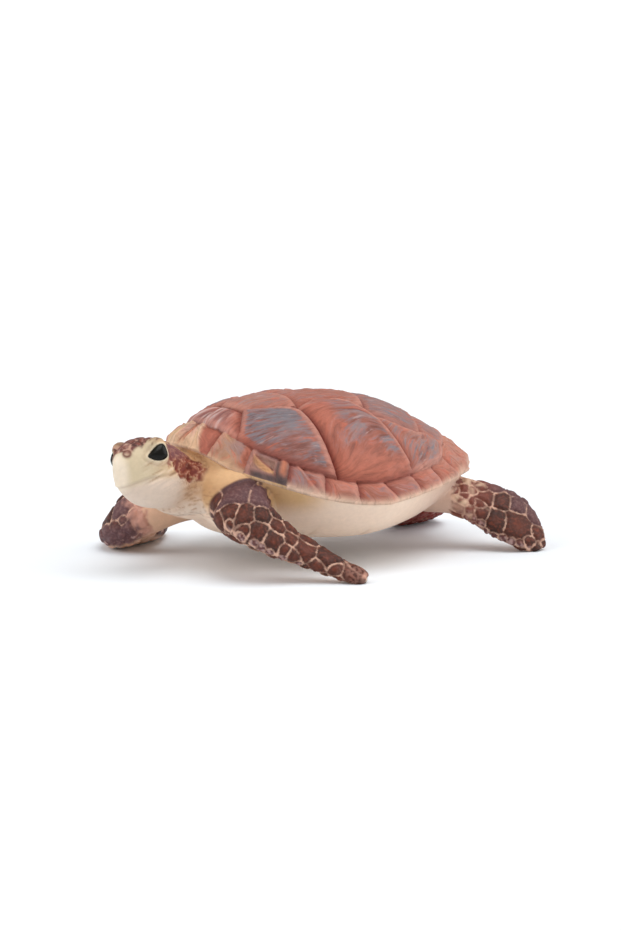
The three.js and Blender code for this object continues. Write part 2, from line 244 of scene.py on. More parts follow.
def marginal_place(turn):
    """Which marginal a turn round the rim falls on, and how far along it."""
    k = -1
    while k < 10 and turn > MARGINAL_SEAMS[k + 1]:
        k += 1
    start = MARGINAL_SEAMS[k] if k >= 0 else -MARGINAL_SEAMS[0]
    return k, min(1, max(0, (turn - start) / (MARGINAL_SEAMS[k + 1] - start)))


def seam_y(k, ax):
    """How far back the seam behind costal k lies, at ax from the midline."""
    start_x, start_y = stepped(BACK_EDGE_Y, BACK_EDGE_X, COSTAL_CORNERS[k]), COSTAL_CORNERS[k]
    angle = math.radians(COSTAL_FEET[k])
    end_x, end_y = plan_point(margin_share(angle), angle)
    along = (ax - start_x) / (end_x - start_x)
    bow = COSTAL_BOW[k] * 4 * along * (1 - along) if 0 < along < 1 else 0
    return mix(start_y, end_y, along) + bow


SEAM_RED = sprayed(122, 50, 42)
RUST = sprayed(180, 96, 70)
LIP_ROSE = sprayed(192, 134, 118)
CREAM = sprayed(222, 190, 166)
OCHRE = sprayed(192, 140, 98)
FRAME_GREY = sprayed(94, 78, 78)
GROOVE_BROWN = sprayed(104, 60, 54)
RIDGE_GREY = sprayed(150, 134, 134)
# Each scute's sprayed colour and how much blue grey its strands take.
MIDDLE_PAINT = (
    (sprayed(158, 112, 104), 0.16), (sprayed(178, 120, 102), 0.42), (sprayed(168, 106, 88), 0.36),
    (sprayed(160, 116, 106), 0.56), (sprayed(176, 126, 112), 0.5),
)
COSTAL_PAINT = ((sprayed(134, 88, 80), 0.66), (sprayed(156, 92, 76), 0.5), (sprayed(174, 118, 102), 0.42))
MARGINAL_PAINT = (
    (sprayed(196, 140, 110), 0.08), (sprayed(168, 124, 98), 0.34), (sprayed(140, 100, 90), 0.7),
    (sprayed(160, 104, 90), 0.5), (sprayed(180, 116, 98), 0.3), (sprayed(172, 108, 90), 0.4),
    (sprayed(170, 106, 90), 0.42), (sprayed(180, 114, 96), 0.3), (sprayed(184, 120, 100), 0.34),
    (sprayed(186, 126, 106), 0.34), (sprayed(188, 130, 110), 0.3), (sprayed(188, 132, 114), 0.34),
)


def sunk(distance, depth, colour, shade):
    """The side of a seam that runs under its neighbour dips and holds dark wash and painted shade."""
    distance = max(0, distance)
    wash_and_shade = shade * (0.8 * math.exp(-((distance / 0.75) ** 1.8)) + 0.35 * math.exp(-distance / 1.3))
    colour = blend(colour, RUST, 0.6 * shade * math.exp(-distance / 2.8))
    return -depth * math.exp(-distance / 1.25), blend(colour, SEAM_RED, min(1, wash_and_shade))


def lipped(distance, rise, colour, shade):
    """A seam's side that lies over its neighbour: a rounded lip, edge paled by wear and painted highlight."""
    edge = 0.45 * bump(0, 0.25, distance)
    paled = blend(colour, LIP_ROSE, shade * bump(0.75, 0.8, distance))
    return rise * (bump(0.8, 0.7, distance) - edge), paled


def rounded(radius, a, b):
    """Distance inside a corner that is rounded off, from the distances to its two sides."""
    return radius - math.hypot(max(0, radius - a), max(0, radius - b))


def strands(across, along, seed):
    """Raised strands like combed hair, from -1 to 1: narrow across them and long along them."""
    wander = 0.5 * grain(along * 0.25, across * 0.2, seed + 9)
    coarse = grain(across / 1.0 + wander, along / 6.0, seed)
    fine = grain(across / 0.45 + wander, along / 3.4, seed + 3)
    return max(-1.0, min(1.0, 1.9 * (0.6 * coarse + 0.5 * fine)))


def sculpt_marginal(x, y, turn, share, edge, radius, slant):
    out = (share - edge) / (1 - edge)
    turn -= (2 * ease(75, 100, turn) + 4.5 * bump(92, 9, turn)) * (out - 0.5)
    k, q = marginal_place(turn)
    start = MARGINAL_SEAMS[k] if k >= 0 else -MARGINAL_SEAMS[0]
    length = math.radians(MARGINAL_SEAMS[k + 1] - start) * radius
    height = (1 - edge) * radius * slant
    to_rear, to_front = (1 - q) * length, q * length
    to_inner, to_rim = max(0, out * height), max(0, (1 - out) * height)
    inside = ease(0.3, 1.2, min(to_rear, to_front, to_inner))
    seed = 40 + k * 3.7 + (1 if x >= 0 else 7)
    colour, coat = MARGINAL_PAINT[max(k, 0)]
    patch = grain(x * 0.3, y * 0.3, seed)
    fan = math.atan2(to_inner + 1.2, to_front + 1.2) + 0.25 * grain(x * 0.5, y * 0.5, seed + 2)
    comb = (fan * 3.0, math.hypot(to_inner, to_front), seed)
    strand = strands(*comb)
    lift = 0.35 + 0.3 * inside + 0.15 * strand * inside
    faded = 0.66 + 0.012 * max(0, k)
    if k == 0:  # two facets meet on a pale ridge that runs from the inner front corner to the outer rear one
        ridge = (q - 0.2 - 0.5 * out) * length
        lift += 0.45 * bump(0, 0.5, ridge) - 0.3 * ease(0, 1.4, ridge)
        pale = blend(sprayed(220, 180, 158), sprayed(216, 180, 138), ease(-2.6, -0.4, ridge))
        colour = blend(colour, pale, 0.9 * (1 - ease(-0.3, 0.3, ridge)))
        smoke = bump(1.2, 0.8, to_inner) * (1 - ease(-0.4, 0, ridge))
        colour = blend(colour, sprayed(168, 150, 136), 0.6 * smoke)
        colour = blend(colour, sprayed(158, 84, 68), 0.9 * ease(0.1, 0.9, ridge))
        colour = blend(colour, CREAM, 0.6 * bump(0, 0.35, ridge))
        faded = mix(0.5, 0.98, ease(-0.2, 0.3, ridge))
    elif k == 1:
        colour = blend(colour, sprayed(140, 110, 108), 0.7 * ease(0.3, 0.6, q) * (1 - ease(0.35, 0.7, out)))
        colour = blend(colour, sprayed(198, 156, 110), 0.4 * ease(0, 0.6, patch))
        orange = (1 - ease(1.2, 2.0, to_rear)) * (1 - ease(0.7, 0.95, out))
        colour = blend(colour, sprayed(182, 104, 78), 0.8 * orange)
        lift += 0.2 * grain(x * 0.9, y * 0.9, 3)
        faded = 0.8
    elif k == 2:  # a sharp grey frame round a pale ridged panel, and an orange ridge behind it
        panel = min(to_front - 1.0, to_rear - 2.3, to_inner - 0.8, to_rim - 1.1)
        lift += 0.25 * bump(0.1, 0.25, panel) - 0.25 * ease(0.2, 0.6, panel)
        split = to_inner - 1.1 - 0.42 * (to_front - 1.2)
        lift += 0.3 * bump(0.4, 0.4, split) * ease(0, 0.3, panel)
        inner = blend(sprayed(146, 106, 92), OCHRE, ease(-0.1, 0.3, split) * (1 - ease(1.1, 1.8, split)))
        inner = blend(inner, SEAM_RED, 0.75 * bump(-0.1, 0.2, split))
        frame_paint = blend(FRAME_GREY, sprayed(128, 100, 96), ease(0, 0.4, grain(x, y, 8)))
        colour = blend(frame_paint, inner, ease(0, 0.3, panel))
        # Its raised edges are paled rose, partly dry-brush wear and partly painted highlight.
        paled = 0.4 * bump(0.25, 0.25, min(to_front, to_inner)) + 0.4 * bump(0, 0.2, panel)
        colour = blend(colour, LIP_ROSE, paled)
        colour = blend(colour, sprayed(86, 66, 64), 0.7 * bump(0.5, 0.4, to_rim))
        behind = 1 - ease(1.6, 1.9, to_rear)
        orange = 0.9 * bump(0.9, 0.7, to_rear) * (1 - ease(0.55, 0.85, out))
        colour = blend(colour, sprayed(186, 112, 82), orange)
        lift += 0.55 * bump(1.0, 0.6, to_rear) - 0.3 * bump(1.95, 0.25, to_rear)
        coat = 0.12 * (1 - ease(0, 0.5, panel)) * (1 - behind)
    elif k == 3:  # a grey slope, a pale ridge running back and out, and a dark fold behind it
        ridge = to_front - 1.5 - 0.8 * to_inner
        colour = blend(colour, sprayed(150, 122, 120), 0.7 * (1 - ease(-0.4, 0, ridge)))
        lift += 0.3 * bump(0, 0.4, ridge) - 0.3 * bump(1.0, 0.4, ridge)
        colour = blend(colour, LIP_ROSE, 0.9 * bump(0, 0.35, ridge))
        colour = blend(colour, SEAM_RED, 0.7 * bump(0.95, 0.3, ridge) * ease(0.1, 0.4, out))
    under_front = k >= 3 or k < 0
    dip, colour = (sunk if under_front else lipped)(to_front, 0.35, colour, 0.75 if under_front else 0.6)
    lift += dip
    if k in (-1, 0, 1):
        dip, colour = sunk(to_rear, 0.35, colour, 0.35)
    elif k > 2:
        dip, colour = lipped(to_rear, 0.25, colour, 0.6)
    lift += dip if k != 2 else 0
    # The last costal ends in a pale ridge; in front of it the row is parted off by a dark groove.
    groove = (1 - ease(104, 108, turn)) * ease(28, 40, turn)
    lift += mix(0.12, -0.3, groove) * bump(0, 0.35, to_inner)
    colour = blend(colour, SEAM_RED, 0.5 * groove * bump(0, 0.35, to_inner))
    lift *= 0.1 + 0.9 * ease(0, 1.6, to_rim)
    if k != 2:  # the rim fades softly to the cream below
        fade = ease(faded - 0.08, faded + 0.4, out + 0.1 * patch)
        colour = blend(colour, CREAM if k > 2 else sprayed(214, 176, 142), 0.95 * fade)
        coat *= 1 - fade
    else:
        colour = blend(colour, sprayed(206, 166, 120), ease(0.96, 1.0, out))
    return lift, colour, comb, coat * inside


def sculpt_middle(x, y, back, to_margin):
    ax = abs(x)
    lines = [mix(m, c, (ax / max(back, 1)) ** 2) for m, c in zip(MIDLINE_SEAMS, CORNER_SEAMS)]
    k = 0
    while k < 4 and y > lines[k + 1]:
        k += 1
    to_front = max(0, y - lines[k]) if k > 0 else max(0, to_margin)
    to_rear = max(0, lines[k + 1] - y) if k < 4 else max(0, to_margin)
    to_side = (back - ax) * (0.6 if k == 0 else 1)
    near = min(to_front, to_rear, to_side)
    inside = ease(0.4, 1.5, near)
    colour, coat = MIDDLE_PAINT[k]
    if k == 0:  # bold pale strands over a dark mauve ground, salmon beside the first costal
        comb = ((ax + 0.36 * y) * 0.62, y * 0.8, 20 + (1 if x >= 0 else 7))
        strand = strands(*comb)
        colour = blend(colour, sprayed(104, 74, 76), 0.9 * ease(-0.1, 0.4, -strand))
        colour = blend(colour, sprayed(200, 178, 174), 0.9 * ease(0.1, 0.5, strand))
        colour = blend(colour, sprayed(192, 116, 92), 0.7 * (1 - ease(0.8, 2.6, to_side)))
        lift = 0.45 + 0.5 * (1 - (1 - min(near / 3.2, 1)) ** 2.2) + 0.32 * strand * inside
    else:
        comb = (x * 1.15 + 0.4 * grain(x * 0.2, y * 0.2, 5), y, 20 + k * 2.3)
        strand = strands(*comb)
        colour = blend(colour, GROOVE_BROWN, 0.3 * inside * ease(0, 0.6, -strand))
        colour = blend(colour, RIDGE_GREY, 0.3 * inside * ease(0.1, 0.6, strand))
        lift = 0.4 + 0.6 * (1 - (1 - min(near / 3.6, 1)) ** 2.2) + 0.17 * strand * inside
    side_shade = 0.6 if k == 0 else 0.4 if k < 3 else 0.25
    dip_side, colour = sunk(to_side, 0.45 if k == 0 else 0.2, colour, side_shade)
    dip_front, colour = (sunk if k > 1 else lipped)(to_front, 0.45 if k > 1 else 0.1, colour, 0.5)
    dip_rear, colour = (lipped if k > 0 else sunk)(to_rear, 0.4, colour, 0.6)
    return lift + dip_side + dip_front + dip_rear, colour, comb, coat * inside


def sculpt_costal(x, y, back, to_margin, slant):
    ax = abs(x)
    k = 0
    while k < 2 and y > seam_y(k, ax):
        k += 1
    to_front = max(0, y - seam_y(k - 1, ax)) * 0.95 if k > 0 else 9.0
    to_rear = max(0, seam_y(k, ax) - y) * 0.95 if k < 2 else 9.0
    to_side = (ax - back) * slant * (0.6 if y < CORNER_SEAMS[1] else 1)
    to_margin = max(0, to_margin)
    if k < 2:  # the upper rear corner is rounded off and the groove fills it
        if max(to_rear, to_side) < 3.2:
            to_rear = to_side = min(rounded(3.2, to_rear, to_side), to_rear, to_side)
    near = min(to_front, to_rear, to_side, to_margin)
    up = to_margin / max(2.0, (ax - back) + to_margin)
    seed = 3 + k * 5.1 + (1 if x >= 0 else 7)
    if k == 0:  # the first costal's strands run straight back, the others' fan out of the lower front corner
        across = ax - 0.25 * y + 0.15 * max(0, -16 - y)
        comb = (across * 0.95 + 0.3 * grain(x * 0.25, y * 0.2, 9), y, seed)
    else:
        fan = math.atan2(to_margin + 0.5, to_front + 2.2)
        reach = math.hypot(to_margin, to_front)
        across = mix(fan * 7.0, to_margin * 0.9 - 0.15 * to_front + 1.8, ease(0.35, 1, up))
        comb = (across * 0.9 + 0.3 * grain(x * 0.3, y * 0.3, 9), reach, seed)
    strand = strands(*comb)
    inside = ease(0.4, 1.7, near)
    patch = grain(x * 0.15, y * 0.15, 61 + seed)
    colour, coat = COSTAL_PAINT[k]
    coat += 0.4 * patch - (0.16 if k == 1 else 0.06) * (1 - ease(0.1, 0.6, up))
    colour = blend(colour, RUST, max(0, 0.7 * grain(x * 0.25, y * 0.25, 72 + seed)))
    # The second costal is nearly plain salmon where its strands turn and along its lower edge.
    plain = 0
    if k == 1:
        plain = 0.9 * max(bump(0.6, 0.25, up) * (1 - ease(2.5, 6.5, to_front)), 1 - ease(0.22, 0.4, up))
    coat *= 1 - plain
    strand *= 1 - plain
    colour = blend(colour, sprayed(178, 106, 86), 0.6 * plain)
    colour = blend(colour, GROOVE_BROWN, 0.6 * inside * ease(0, 0.6, -strand))
    colour = blend(colour, RIDGE_GREY, 0.6 * inside * ease(0.1, 0.6, strand))
    lift = 0.45 + 0.85 * (1 - (1 - min(max(0, near) / 3.8, 1)) ** 2.2) + 0.22 * strand * inside
    dips = []
    for distance, over, depth, shade in (
        (to_front, False, 1.0, 1.0),
        (to_rear, True, 0.4, 0.8),
        (to_side, True, 0.18, 0.5),
        (to_margin, k == 2, 0.2, 0.7 if k == 2 else 0.5),
    ):
        dip, colour = (lipped if over else sunk)(distance, depth, colour, shade)
        dips.append(dip)
    if near < 0:
        colour = blend(colour, SEAM_RED, 0.8 * ease(0, 0.4, -near))
    lift += min(dips) if min(dips) < -0.05 else max(dips)
    return lift, colour, comb, coat * inside * (1 - ease(0.6, 1.4, bump(0.75, 0.8, to_rear) + 0.4))


def sculpt(x, y):
    """Lift off the dome, colour, place along the strands and blue-grey coat at a point of the shell."""
    share, angle = share_and_angle(x, y)
    edge = margin_share(angle)
    radius = math.hypot(x, y) / share if share > 1e-3 else SHELL_HALF_WIDTH
    steep = (dome_height(share + 0.01, angle) - dome_height(max(0, share - 0.01), angle)) / (0.02 * radius)
    slant = math.sqrt(1 + min(steep * steep, 9))
    if share > edge:
        return sculpt_marginal(x, y, abs(math.degrees(angle)), share, edge, radius, slant)
    back = stepped(BACK_EDGE_Y, BACK_EDGE_X, y)
    to_margin = (edge - share) * radius * slant
    if abs(x) < back:
        return sculpt_middle(x, y, back, to_margin)
    return sculpt_costal(x, y, back, to_margin, slant)


def tooth_reach(turn):
    return 0 if turn < 80 else 0.035 * ease(80, 150, turn) * marginal_place(turn)[1]


SHELL_GRID = 290
shell_mesh = bmesh.new()
bmesh.ops.create_grid(shell_mesh, x_segments=SHELL_GRID, y_segments=SHELL_GRID, size=1)
painted = {}
rim_turns = {}
for vertex in shell_mesh.verts:
    gx, gy = vertex.co.x, vertex.co.y
    spread = max(abs(gx), abs(gy))
    if spread < 1e-9:
        turn_here = 0.0
    elif abs(gy) >= abs(gx):
        turn_here = math.pi / 4 * gx / abs(gy)
        turn_here = turn_here if gy < 0 else math.pi - turn_here
    else:
        turn_here = (math.pi / 2 + math.pi / 4 * gy / abs(gx)) * (1 if gx > 0 else -1)
    share = spread * (1.35 - 0.35 * spread)
    x, y = plan_point(share, turn_here)
    lift, paint, comb, coat = sculpt(x, y)
    step = 0.05
    tilt = Vector(
        (
            (height_at(x - step, y) - height_at(x + step, y)) / (2 * step),
            (height_at(x, y - step) - height_at(x, y + step)) / (2 * step),
            1,
        )
    ).normalized()
    stretch = 1 + tooth_reach(abs(math.degrees(turn_here))) * ease(0.9, 1, share)
    if share > 0.97:
        tilt = tilt.lerp(Vector((tilt.x, tilt.y, 0)).normalized(), 0.6 * ease(0.97, 1, share))
    vertex.co = Vector((x * stretch, y * stretch, height_at(x, y))) + tilt.normalized() * lift
    painted[vertex] = (paint, comb, coat)
    if spread > 1 - 1e-6:
        rim_turns[vertex] = turn_here

# The rim rounds under and closes below, hidden where the flesh meets it.
loop = [e for e in shell_mesh.edges if e.is_boundary]
for share, drop in ((1.0, 0.35), (0.985, 0.62), (0.955, 0.6), (0.8, 0.6), (0.5, 0.6), (0.2, 0.6)):
    made = bmesh.ops.extrude_edge_only(shell_mesh, edges=loop)["geom"]
    loop = [e for e in made if isinstance(e, bmesh.types.BMEdge) and e.is_boundary]
    new_turns = {}
    for vertex in (v for v in made if isinstance(v, bmesh.types.BMVert)):
        above = next(o for e in vertex.link_edges if (o := e.other_vert(vertex)) in rim_turns)
        angle = rim_turns[above]
        reach = share * (1 + tooth_reach(abs(math.degrees(angle))))
        x, y = plan_point(reach, angle)
        level = underside_height(min(1, share), angle) + RIM_THICKNESS - drop
        vertex.co = Vector((x, y, level))
        painted[vertex] = (blend(painted[above][0], CREAM, 0.6), painted[above][1], 0.0)
        new_turns[vertex] = angle
    rim_turns = new_turns
bmesh.ops.pointmerge(shell_mesh, verts=list(rim_turns), merge_co=Vector((0, 0, 16.5)))
bmesh.ops.recalc_face_normals(shell_mesh, faces=shell_mesh.faces)
coats = [painted.get(v, (CREAM, (0, 0, 0), 0.0)) for v in shell_mesh.verts]
for vertex in shell_mesh.verts:
    vertex.co = placed(vertex.co)
for face in shell_mesh.faces:
    face.smooth = True
shell_data = finished(shell_mesh, "shell")
shell_data.attributes.new("paint", "FLOAT_COLOR", "POINT").data.foreach_set(
    "color", [c for paint, _, _ in coats for c in (*paint, 1)]
)
shell_data.attributes.new("comb", "FLOAT_VECTOR", "POINT").data.foreach_set(
    "vector", [c for _, comb, _ in coats for c in comb]
)
shell_data.attributes.new("coat", "FLOAT", "POINT").data.foreach_set("value", [coat for _, _, coat in coats])


def painted_vinyl(name, brush_scale, brush_depth, relief):
    """Vinyl under matt acrylic: the sprayed colours, broken by brush grain and a fine moulded tooth."""
    material = bpy.data.materials.new(name)
    material.use_nodes = True
    nodes, links = material.node_tree.nodes, material.node_tree.links
    shader = nodes["Principled BSDF"]
    shader.inputs["Roughness"].default_value = 0.55
    shader.inputs["Specular IOR Level"].default_value = 0.3
    shader.inputs["Subsurface Weight"].default_value = 0.05
    shader.inputs["Subsurface Radius"].default_value = (0.001, 0.0005, 0.0003)
    shader.inputs["Subsurface Scale"].default_value = 1.0
    paint = nodes.new("ShaderNodeAttribute")
    paint.name = "paint"
    paint.attribute_name = "paint"
    where = nodes.new("ShaderNodeTexCoord")
    brush = nodes.new("ShaderNodeTexNoise")
    brush.inputs["Scale"].default_value = brush_scale
    brush.inputs["Detail"].default_value = 6
    brush.inputs["Roughness"].default_value = 0.65
    links.new(where.outputs["Object"], brush.inputs["Vector"])
    shade = nodes.new("ShaderNodeMapRange")
    shade.inputs["From Min"].default_value = 0.25
    shade.inputs["From Max"].default_value = 0.75
    shade.inputs["To Min"].default_value = 1 - brush_depth
    shade.inputs["To Max"].default_value = 1 + brush_depth
    links.new(brush.outputs["Fac"], shade.inputs["Value"])
    tint = nodes.new("ShaderNodeVectorMath")
    tint.name = "tint"
    tint.operation = "SCALE"
    links.new(paint.outputs["Color"], tint.inputs[0])
    links.new(shade.outputs["Result"], tint.inputs["Scale"])
    links.new(tint.outputs["Vector"], shader.inputs["Base Color"])
    tooth = nodes.new("ShaderNodeTexNoise")
    tooth.inputs["Scale"].default_value = 2600
    tooth.inputs["Detail"].default_value = 3
    links.new(where.outputs["Object"], tooth.inputs["Vector"])
    relief_node = nodes.new("ShaderNodeBump")
    relief_node.name = "tooth"
    relief_node.inputs["Strength"].default_value = relief
    relief_node.inputs["Distance"].default_value = 0.0001
    links.new(tooth.outputs["Fac"], relief_node.inputs["Height"])
    links.new(relief_node.outputs["Normal"], shader.inputs["Normal"])
    return material


# The dry brush leaves orange flecks first, then blue grey and a little pale rose on the strands, and the wash
# stays dark between them.
shell_paint = painted_vinyl("shell_paint", 900, 0.1, 0.3)
nodes, links = shell_paint.node_tree.nodes, shell_paint.node_tree.links


def along_strands(scale, offset, detail):
    """Noise drawn out along the strands."""
    combed = nodes.new("ShaderNodeAttribute")
    combed.attribute_name = "comb"
    drawn_out = nodes.new("ShaderNodeVectorMath")
    drawn_out.operation = "MULTIPLY_ADD"
    drawn_out.inputs[1].default_value = scale
    drawn_out.inputs[2].default_value = offset
    links.new(combed.outputs["Vector"], drawn_out.inputs[0])
    hairs = nodes.new("ShaderNodeTexNoise")
    hairs.inputs["Scale"].default_value = 1
    hairs.inputs["Detail"].default_value = detail
    hairs.inputs["Roughness"].default_value = 0.68
    hairs.inputs["Distortion"].default_value = 0.35
    links.new(drawn_out.outputs["Vector"], hairs.inputs["Vector"])
    return hairs.outputs["Fac"]


def brushed_on(ground, colour, value, low, high, most, where):
    """A second colour dragged over the ground where the value lies between low and high."""
    cover = nodes.new("ShaderNodeMapRange")
    cover.interpolation_type = "SMOOTHSTEP"
    cover.inputs["From Min"].default_value = low
    cover.inputs["From Max"].default_value = high
    cover.inputs["To Max"].default_value = most
    links.new(value, cover.inputs["Value"])
    here = nodes.new("ShaderNodeMath")
    here.operation = "MULTIPLY"
    links.new(cover.outputs["Result"], here.inputs[0])
    links.new(where, here.inputs[1])
    both = nodes.new("ShaderNodeMix")
    both.data_type = "RGBA"
    both.inputs["B"].default_value = (*sprayed(*colour), 1)
    links.new(here.outputs["Value"], both.inputs["Factor"])
    links.new(ground, both.inputs["A"])
    return both.outputs["Result"]


coat = nodes.new("ShaderNodeAttribute")
coat.attribute_name = "coat"
coated = nodes.new("ShaderNodeMath")
coated.operation = "MULTIPLY"
coated.use_clamp = True
coated.inputs[1].default_value = 2
links.new(coat.outputs["Fac"], coated.inputs[0])
fine_hairs = along_strands((2.7, 0.32, 1), (0, 0, 0), 5)
wide_hairs = along_strands((1.3, 0.2, 1), (11, 3, 5), 4)
above = nodes.new("ShaderNodeMath")
above.operation = "MULTIPLY_ADD"
above.inputs[1].default_value = 0.36
links.new(coat.outputs["Fac"], above.inputs[0])
links.new(fine_hairs, above.inputs[2])
with_orange = brushed_on(
    nodes["paint"].outputs["Color"], (200, 106, 80), wide_hairs, 0.51, 0.66, 0.8, coated.outputs["Value"]
)
with_grey = brushed_on(
    with_orange, (112, 111, 118), above.outputs["Value"], 0.58, 0.86, 0.85, coated.outputs["Value"]
)
with_rose = brushed_on(with_grey, (200, 166, 160), wide_hairs, 0.42, 0.3, 0.5, coated.outputs["Value"])
between = nodes.new("ShaderNodeMapRange")
between.inputs["From Min"].default_value = 0.32
between.inputs["From Max"].default_value = 0.56
between.inputs["To Min"].default_value = 0.66
between.inputs["To Max"].default_value = 1.0
links.new(fine_hairs, between.inputs["Value"])
washed = nodes.new("ShaderNodeVectorMath")
washed.operation = "SCALE"
links.new(with_rose, washed.inputs[0])
links.new(between.outputs["Result"], washed.inputs["Scale"])
links.new(washed.outputs["Vector"], nodes["tint"].inputs[0])
hair_relief = nodes.new("ShaderNodeBump")
hair_relief.inputs["Strength"].default_value = 0.7
hair_relief.inputs["Distance"].default_value = 0.00025
links.new(fine_hairs, hair_relief.inputs["Height"])
links.new(hair_relief.outputs["Normal"], nodes["tooth"].inputs["Normal"])
shell_data.materials.append(shell_paint)
shell_piece = set_out("shell", shell_data)
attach(shell_piece, "root")
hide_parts("carapace")

# ---- skin --------------------------------------------------------------------------------------------------
# Head, neck, body, flippers and tail are one soft vinyl casting under one coat of cream. Each part is first
# roughed out round its own spine, the parts are fused and smoothed, and then lids, scale plates, wrinkles and
# the mouth are pressed into the surface and painted.
NECK = (
    (0, -15, 11.8, 10, 7, 0),
    (0, -19.5, 12.2, 9.4, 6.9, 0),
    (0, -23.4, 14.2, 8.4, 6.5, 0),
    (0.4, -27.2, 14.8, 8.2, 6.1, 0),
    (1.8, -32, 15.6, 7.1, 5.3, 0),
)
TAIL = (
    (0, 20, 10.4, 3.4, 2.6, 0),
    (0, 25, 10.2, 2.6, 2, 0),
    (0, 29, 9.8, 1.5, 1.2, 0),
    (0, 31.2, 9.4, 0.6, 0.5, 0),
)
# Each row: the spine's x, y and z, half the breadth, half the thickness and the roll in degrees.
FLIPPERS = {
    "front_left": (
        (8, -16.5, 12.8, 4.4, 4.2, 0),
        (11.5, -21.5, 13, 5, 4.1, 10),
        (15.2, -25.6, 12.3, 5.1, 4, 30),
        (19.6, -25.4, 10.4, 4.3, 2.9, 42),
        (22.2, -21.8, 7.6, 3.8, 1.9, 42),
        (24, -17.4, 5.1, 2.9, 1.6, 38),
        (27.2, -13.2, 2.6, 2.2, 1.4, 30),
        (29.9, -10.4, 1.1, 1.8, 1.3, 20),
        (31, -9.4, 0.7, 1.1, 0.9, 15),
    ),
    "front_right": (
        (-7, -16.5, 11.2, 4.2, 4, 0),
        (-12, -22.5, 9.6, 3.9, 3.5, -10),
        (-16.8, -28, 7.4, 4.6, 4, -40),
        (-20.2, -29.6, 5.1, 4.9, 3.6, -45),
        (-23.8, -27.2, 3.2, 5.3, 2.8, -12),
        (-28.2, -22.6, 2, 4.8, 2, -4),
        (-32, -18, 1.4, 3.2, 1.5, -8),
        (-34, -15.6, 1, 1.5, 0.9, -8),
    ),
    "rear_left": (
        (4, 18.5, 10, 4, 3.4, 0),
        (9.5, 24.5, 9.8, 4.5, 2.9, 20),
        (13.5, 28.8, 8.1, 5.1, 2.1, 38),
        (17.2, 32.2, 5.6, 5.2, 1.7, 45),
        (18.7, 34.8, 3.5, 4.8, 1.5, 45),
        (19.4, 36.8, 2.7, 3.6, 1.2, 44),
        (19.7, 37.7, 2.6, 1.8, 0.8, 44),
    ),
    "rear_right": (
        (-4, 18, 9.4, 4, 3.4, 0),
        (-7.5, 23.5, 7.4, 4.8, 2.9, -18),
        (-10.8, 28.2, 4.4, 5.4, 2.1, -28),
        (-14, 32, 2.6, 5.4, 1.7, -20),
        (-16.8, 35.4, 1.8, 4.3, 1.5, -16),
        (-18.2, 37.4, 1.4, 2.2, 1.1, -20),
        (-18.8, 38.3, 1.2, 1.2, 0.8, -20),
    ),
}
SECTION_POWER = 2.3


def on_line(rows, u):
    """Every column of the rows at once, on a smooth line through them."""
    last = len(rows) - 1
    place = min(max(u, 0), 0.99999) * last
    i = int(place)
    t = place - i
    b, c = rows[i], rows[i + 1]
    a = rows[i - 1] if i > 0 else tuple(2 * p - q for p, q in zip(b, c))
    d = rows[i + 2] if i + 2 <= last else tuple(2 * q - p for p, q in zip(b, c))
    return [
        0.5 * (2 * q + (r - p) * t + (2 * p - 5 * q + 4 * r - s) * t * t + (3 * q - p - 3 * r + s) * t**3)
        for p, q, r, s in zip(a, b, c, d)
    ]


def limb_frame(rows, u):
    here = on_line(rows, u)
    ahead, behind = on_line(rows, u + 0.002), on_line(rows, u - 0.002)
    along = Vector((ahead[0] - behind[0], ahead[1] - behind[1], ahead[2] - behind[2])).normalized()
    side = Vector((0, 0, 1)).cross(along).normalized()
    up = along.cross(side)
    roll = math.radians(here[5])
    breadth = side * math.cos(roll) + up * math.sin(roll)
    return Vector(here[:3]), along, breadth, along.cross(breadth), here[3], here[4]


def power_of(value, power):
    return math.copysign(abs(value) ** power, value)


def on_limb(rows, u, turn):
    centre, _, breadth, depth, half_breadth, half_thickness = limb_frame(rows, u)
    across = power_of(math.cos(turn), 2 / SECTION_POWER) * half_breadth
    through = power_of(math.sin(turn), 2 / SECTION_POWER) * half_thickness
    return centre + breadth * across + depth * through


# The head's own frame: forward to the beak, to its left, and up. It is turned to its left and rolled a
# little. Each row: forward, half width, top and bottom.
HEAD_AT = Vector((2.4, -36.1, 18.6))
HEAD_TURN = Matrix.Rotation(math.radians(20), 3, "Z") @ Matrix.Rotation(math.radians(-11), 3, "Y")
HEAD = (
    (-9.4, 4.6, 0.9, -6),
    (-7.8, 5.5, 1.6, -7),
    (-5, 6.0, 2.8, -7.3),
    (-2, 6.1, 4.7, -7.1),
    (1, 5.9, 5.8, -6.7),
    (3.6, 5.1, 6, -6),
    (5.8, 3.8, 5.3, -4.9),
    (7.5, 2.6, 4.5, -3.8),
    (8.7, 1.7, 3.7, -2.9),
    (9.5, 1.1, 2.7, -2.4),
    (9.9, 0.5, 1.3, -1.9),
)
# A brow stands over each eye and a rounded orbit under it: left, back and up, then half sizes the same way.
BROW = ((3.9, -2.9, 4.15), (1.35, 2.4, 1.7))
ORBIT = ((3.5, -2.6, 3.0), (1.8, 2.6, 2.4))
FAR_OUT = 0.35  # the right brow and eye stand out this much more than the left


def in_head(forward, left, up):
    return HEAD_AT + HEAD_TURN @ Vector((left, -forward, up))


def from_head(point):
    local = HEAD_TURN.transposed() @ (point - HEAD_AT)
    return -local.y, local.x, local.z


def on_head(u, turn):
    forward, half_width, top, bottom = on_line(HEAD, u)
    across = power_of(math.cos(turn), 0.85) * half_width
    return in_head(forward, across, (top + bottom) / 2 + power_of(math.sin(turn), 0.9) * (top - bottom) / 2)


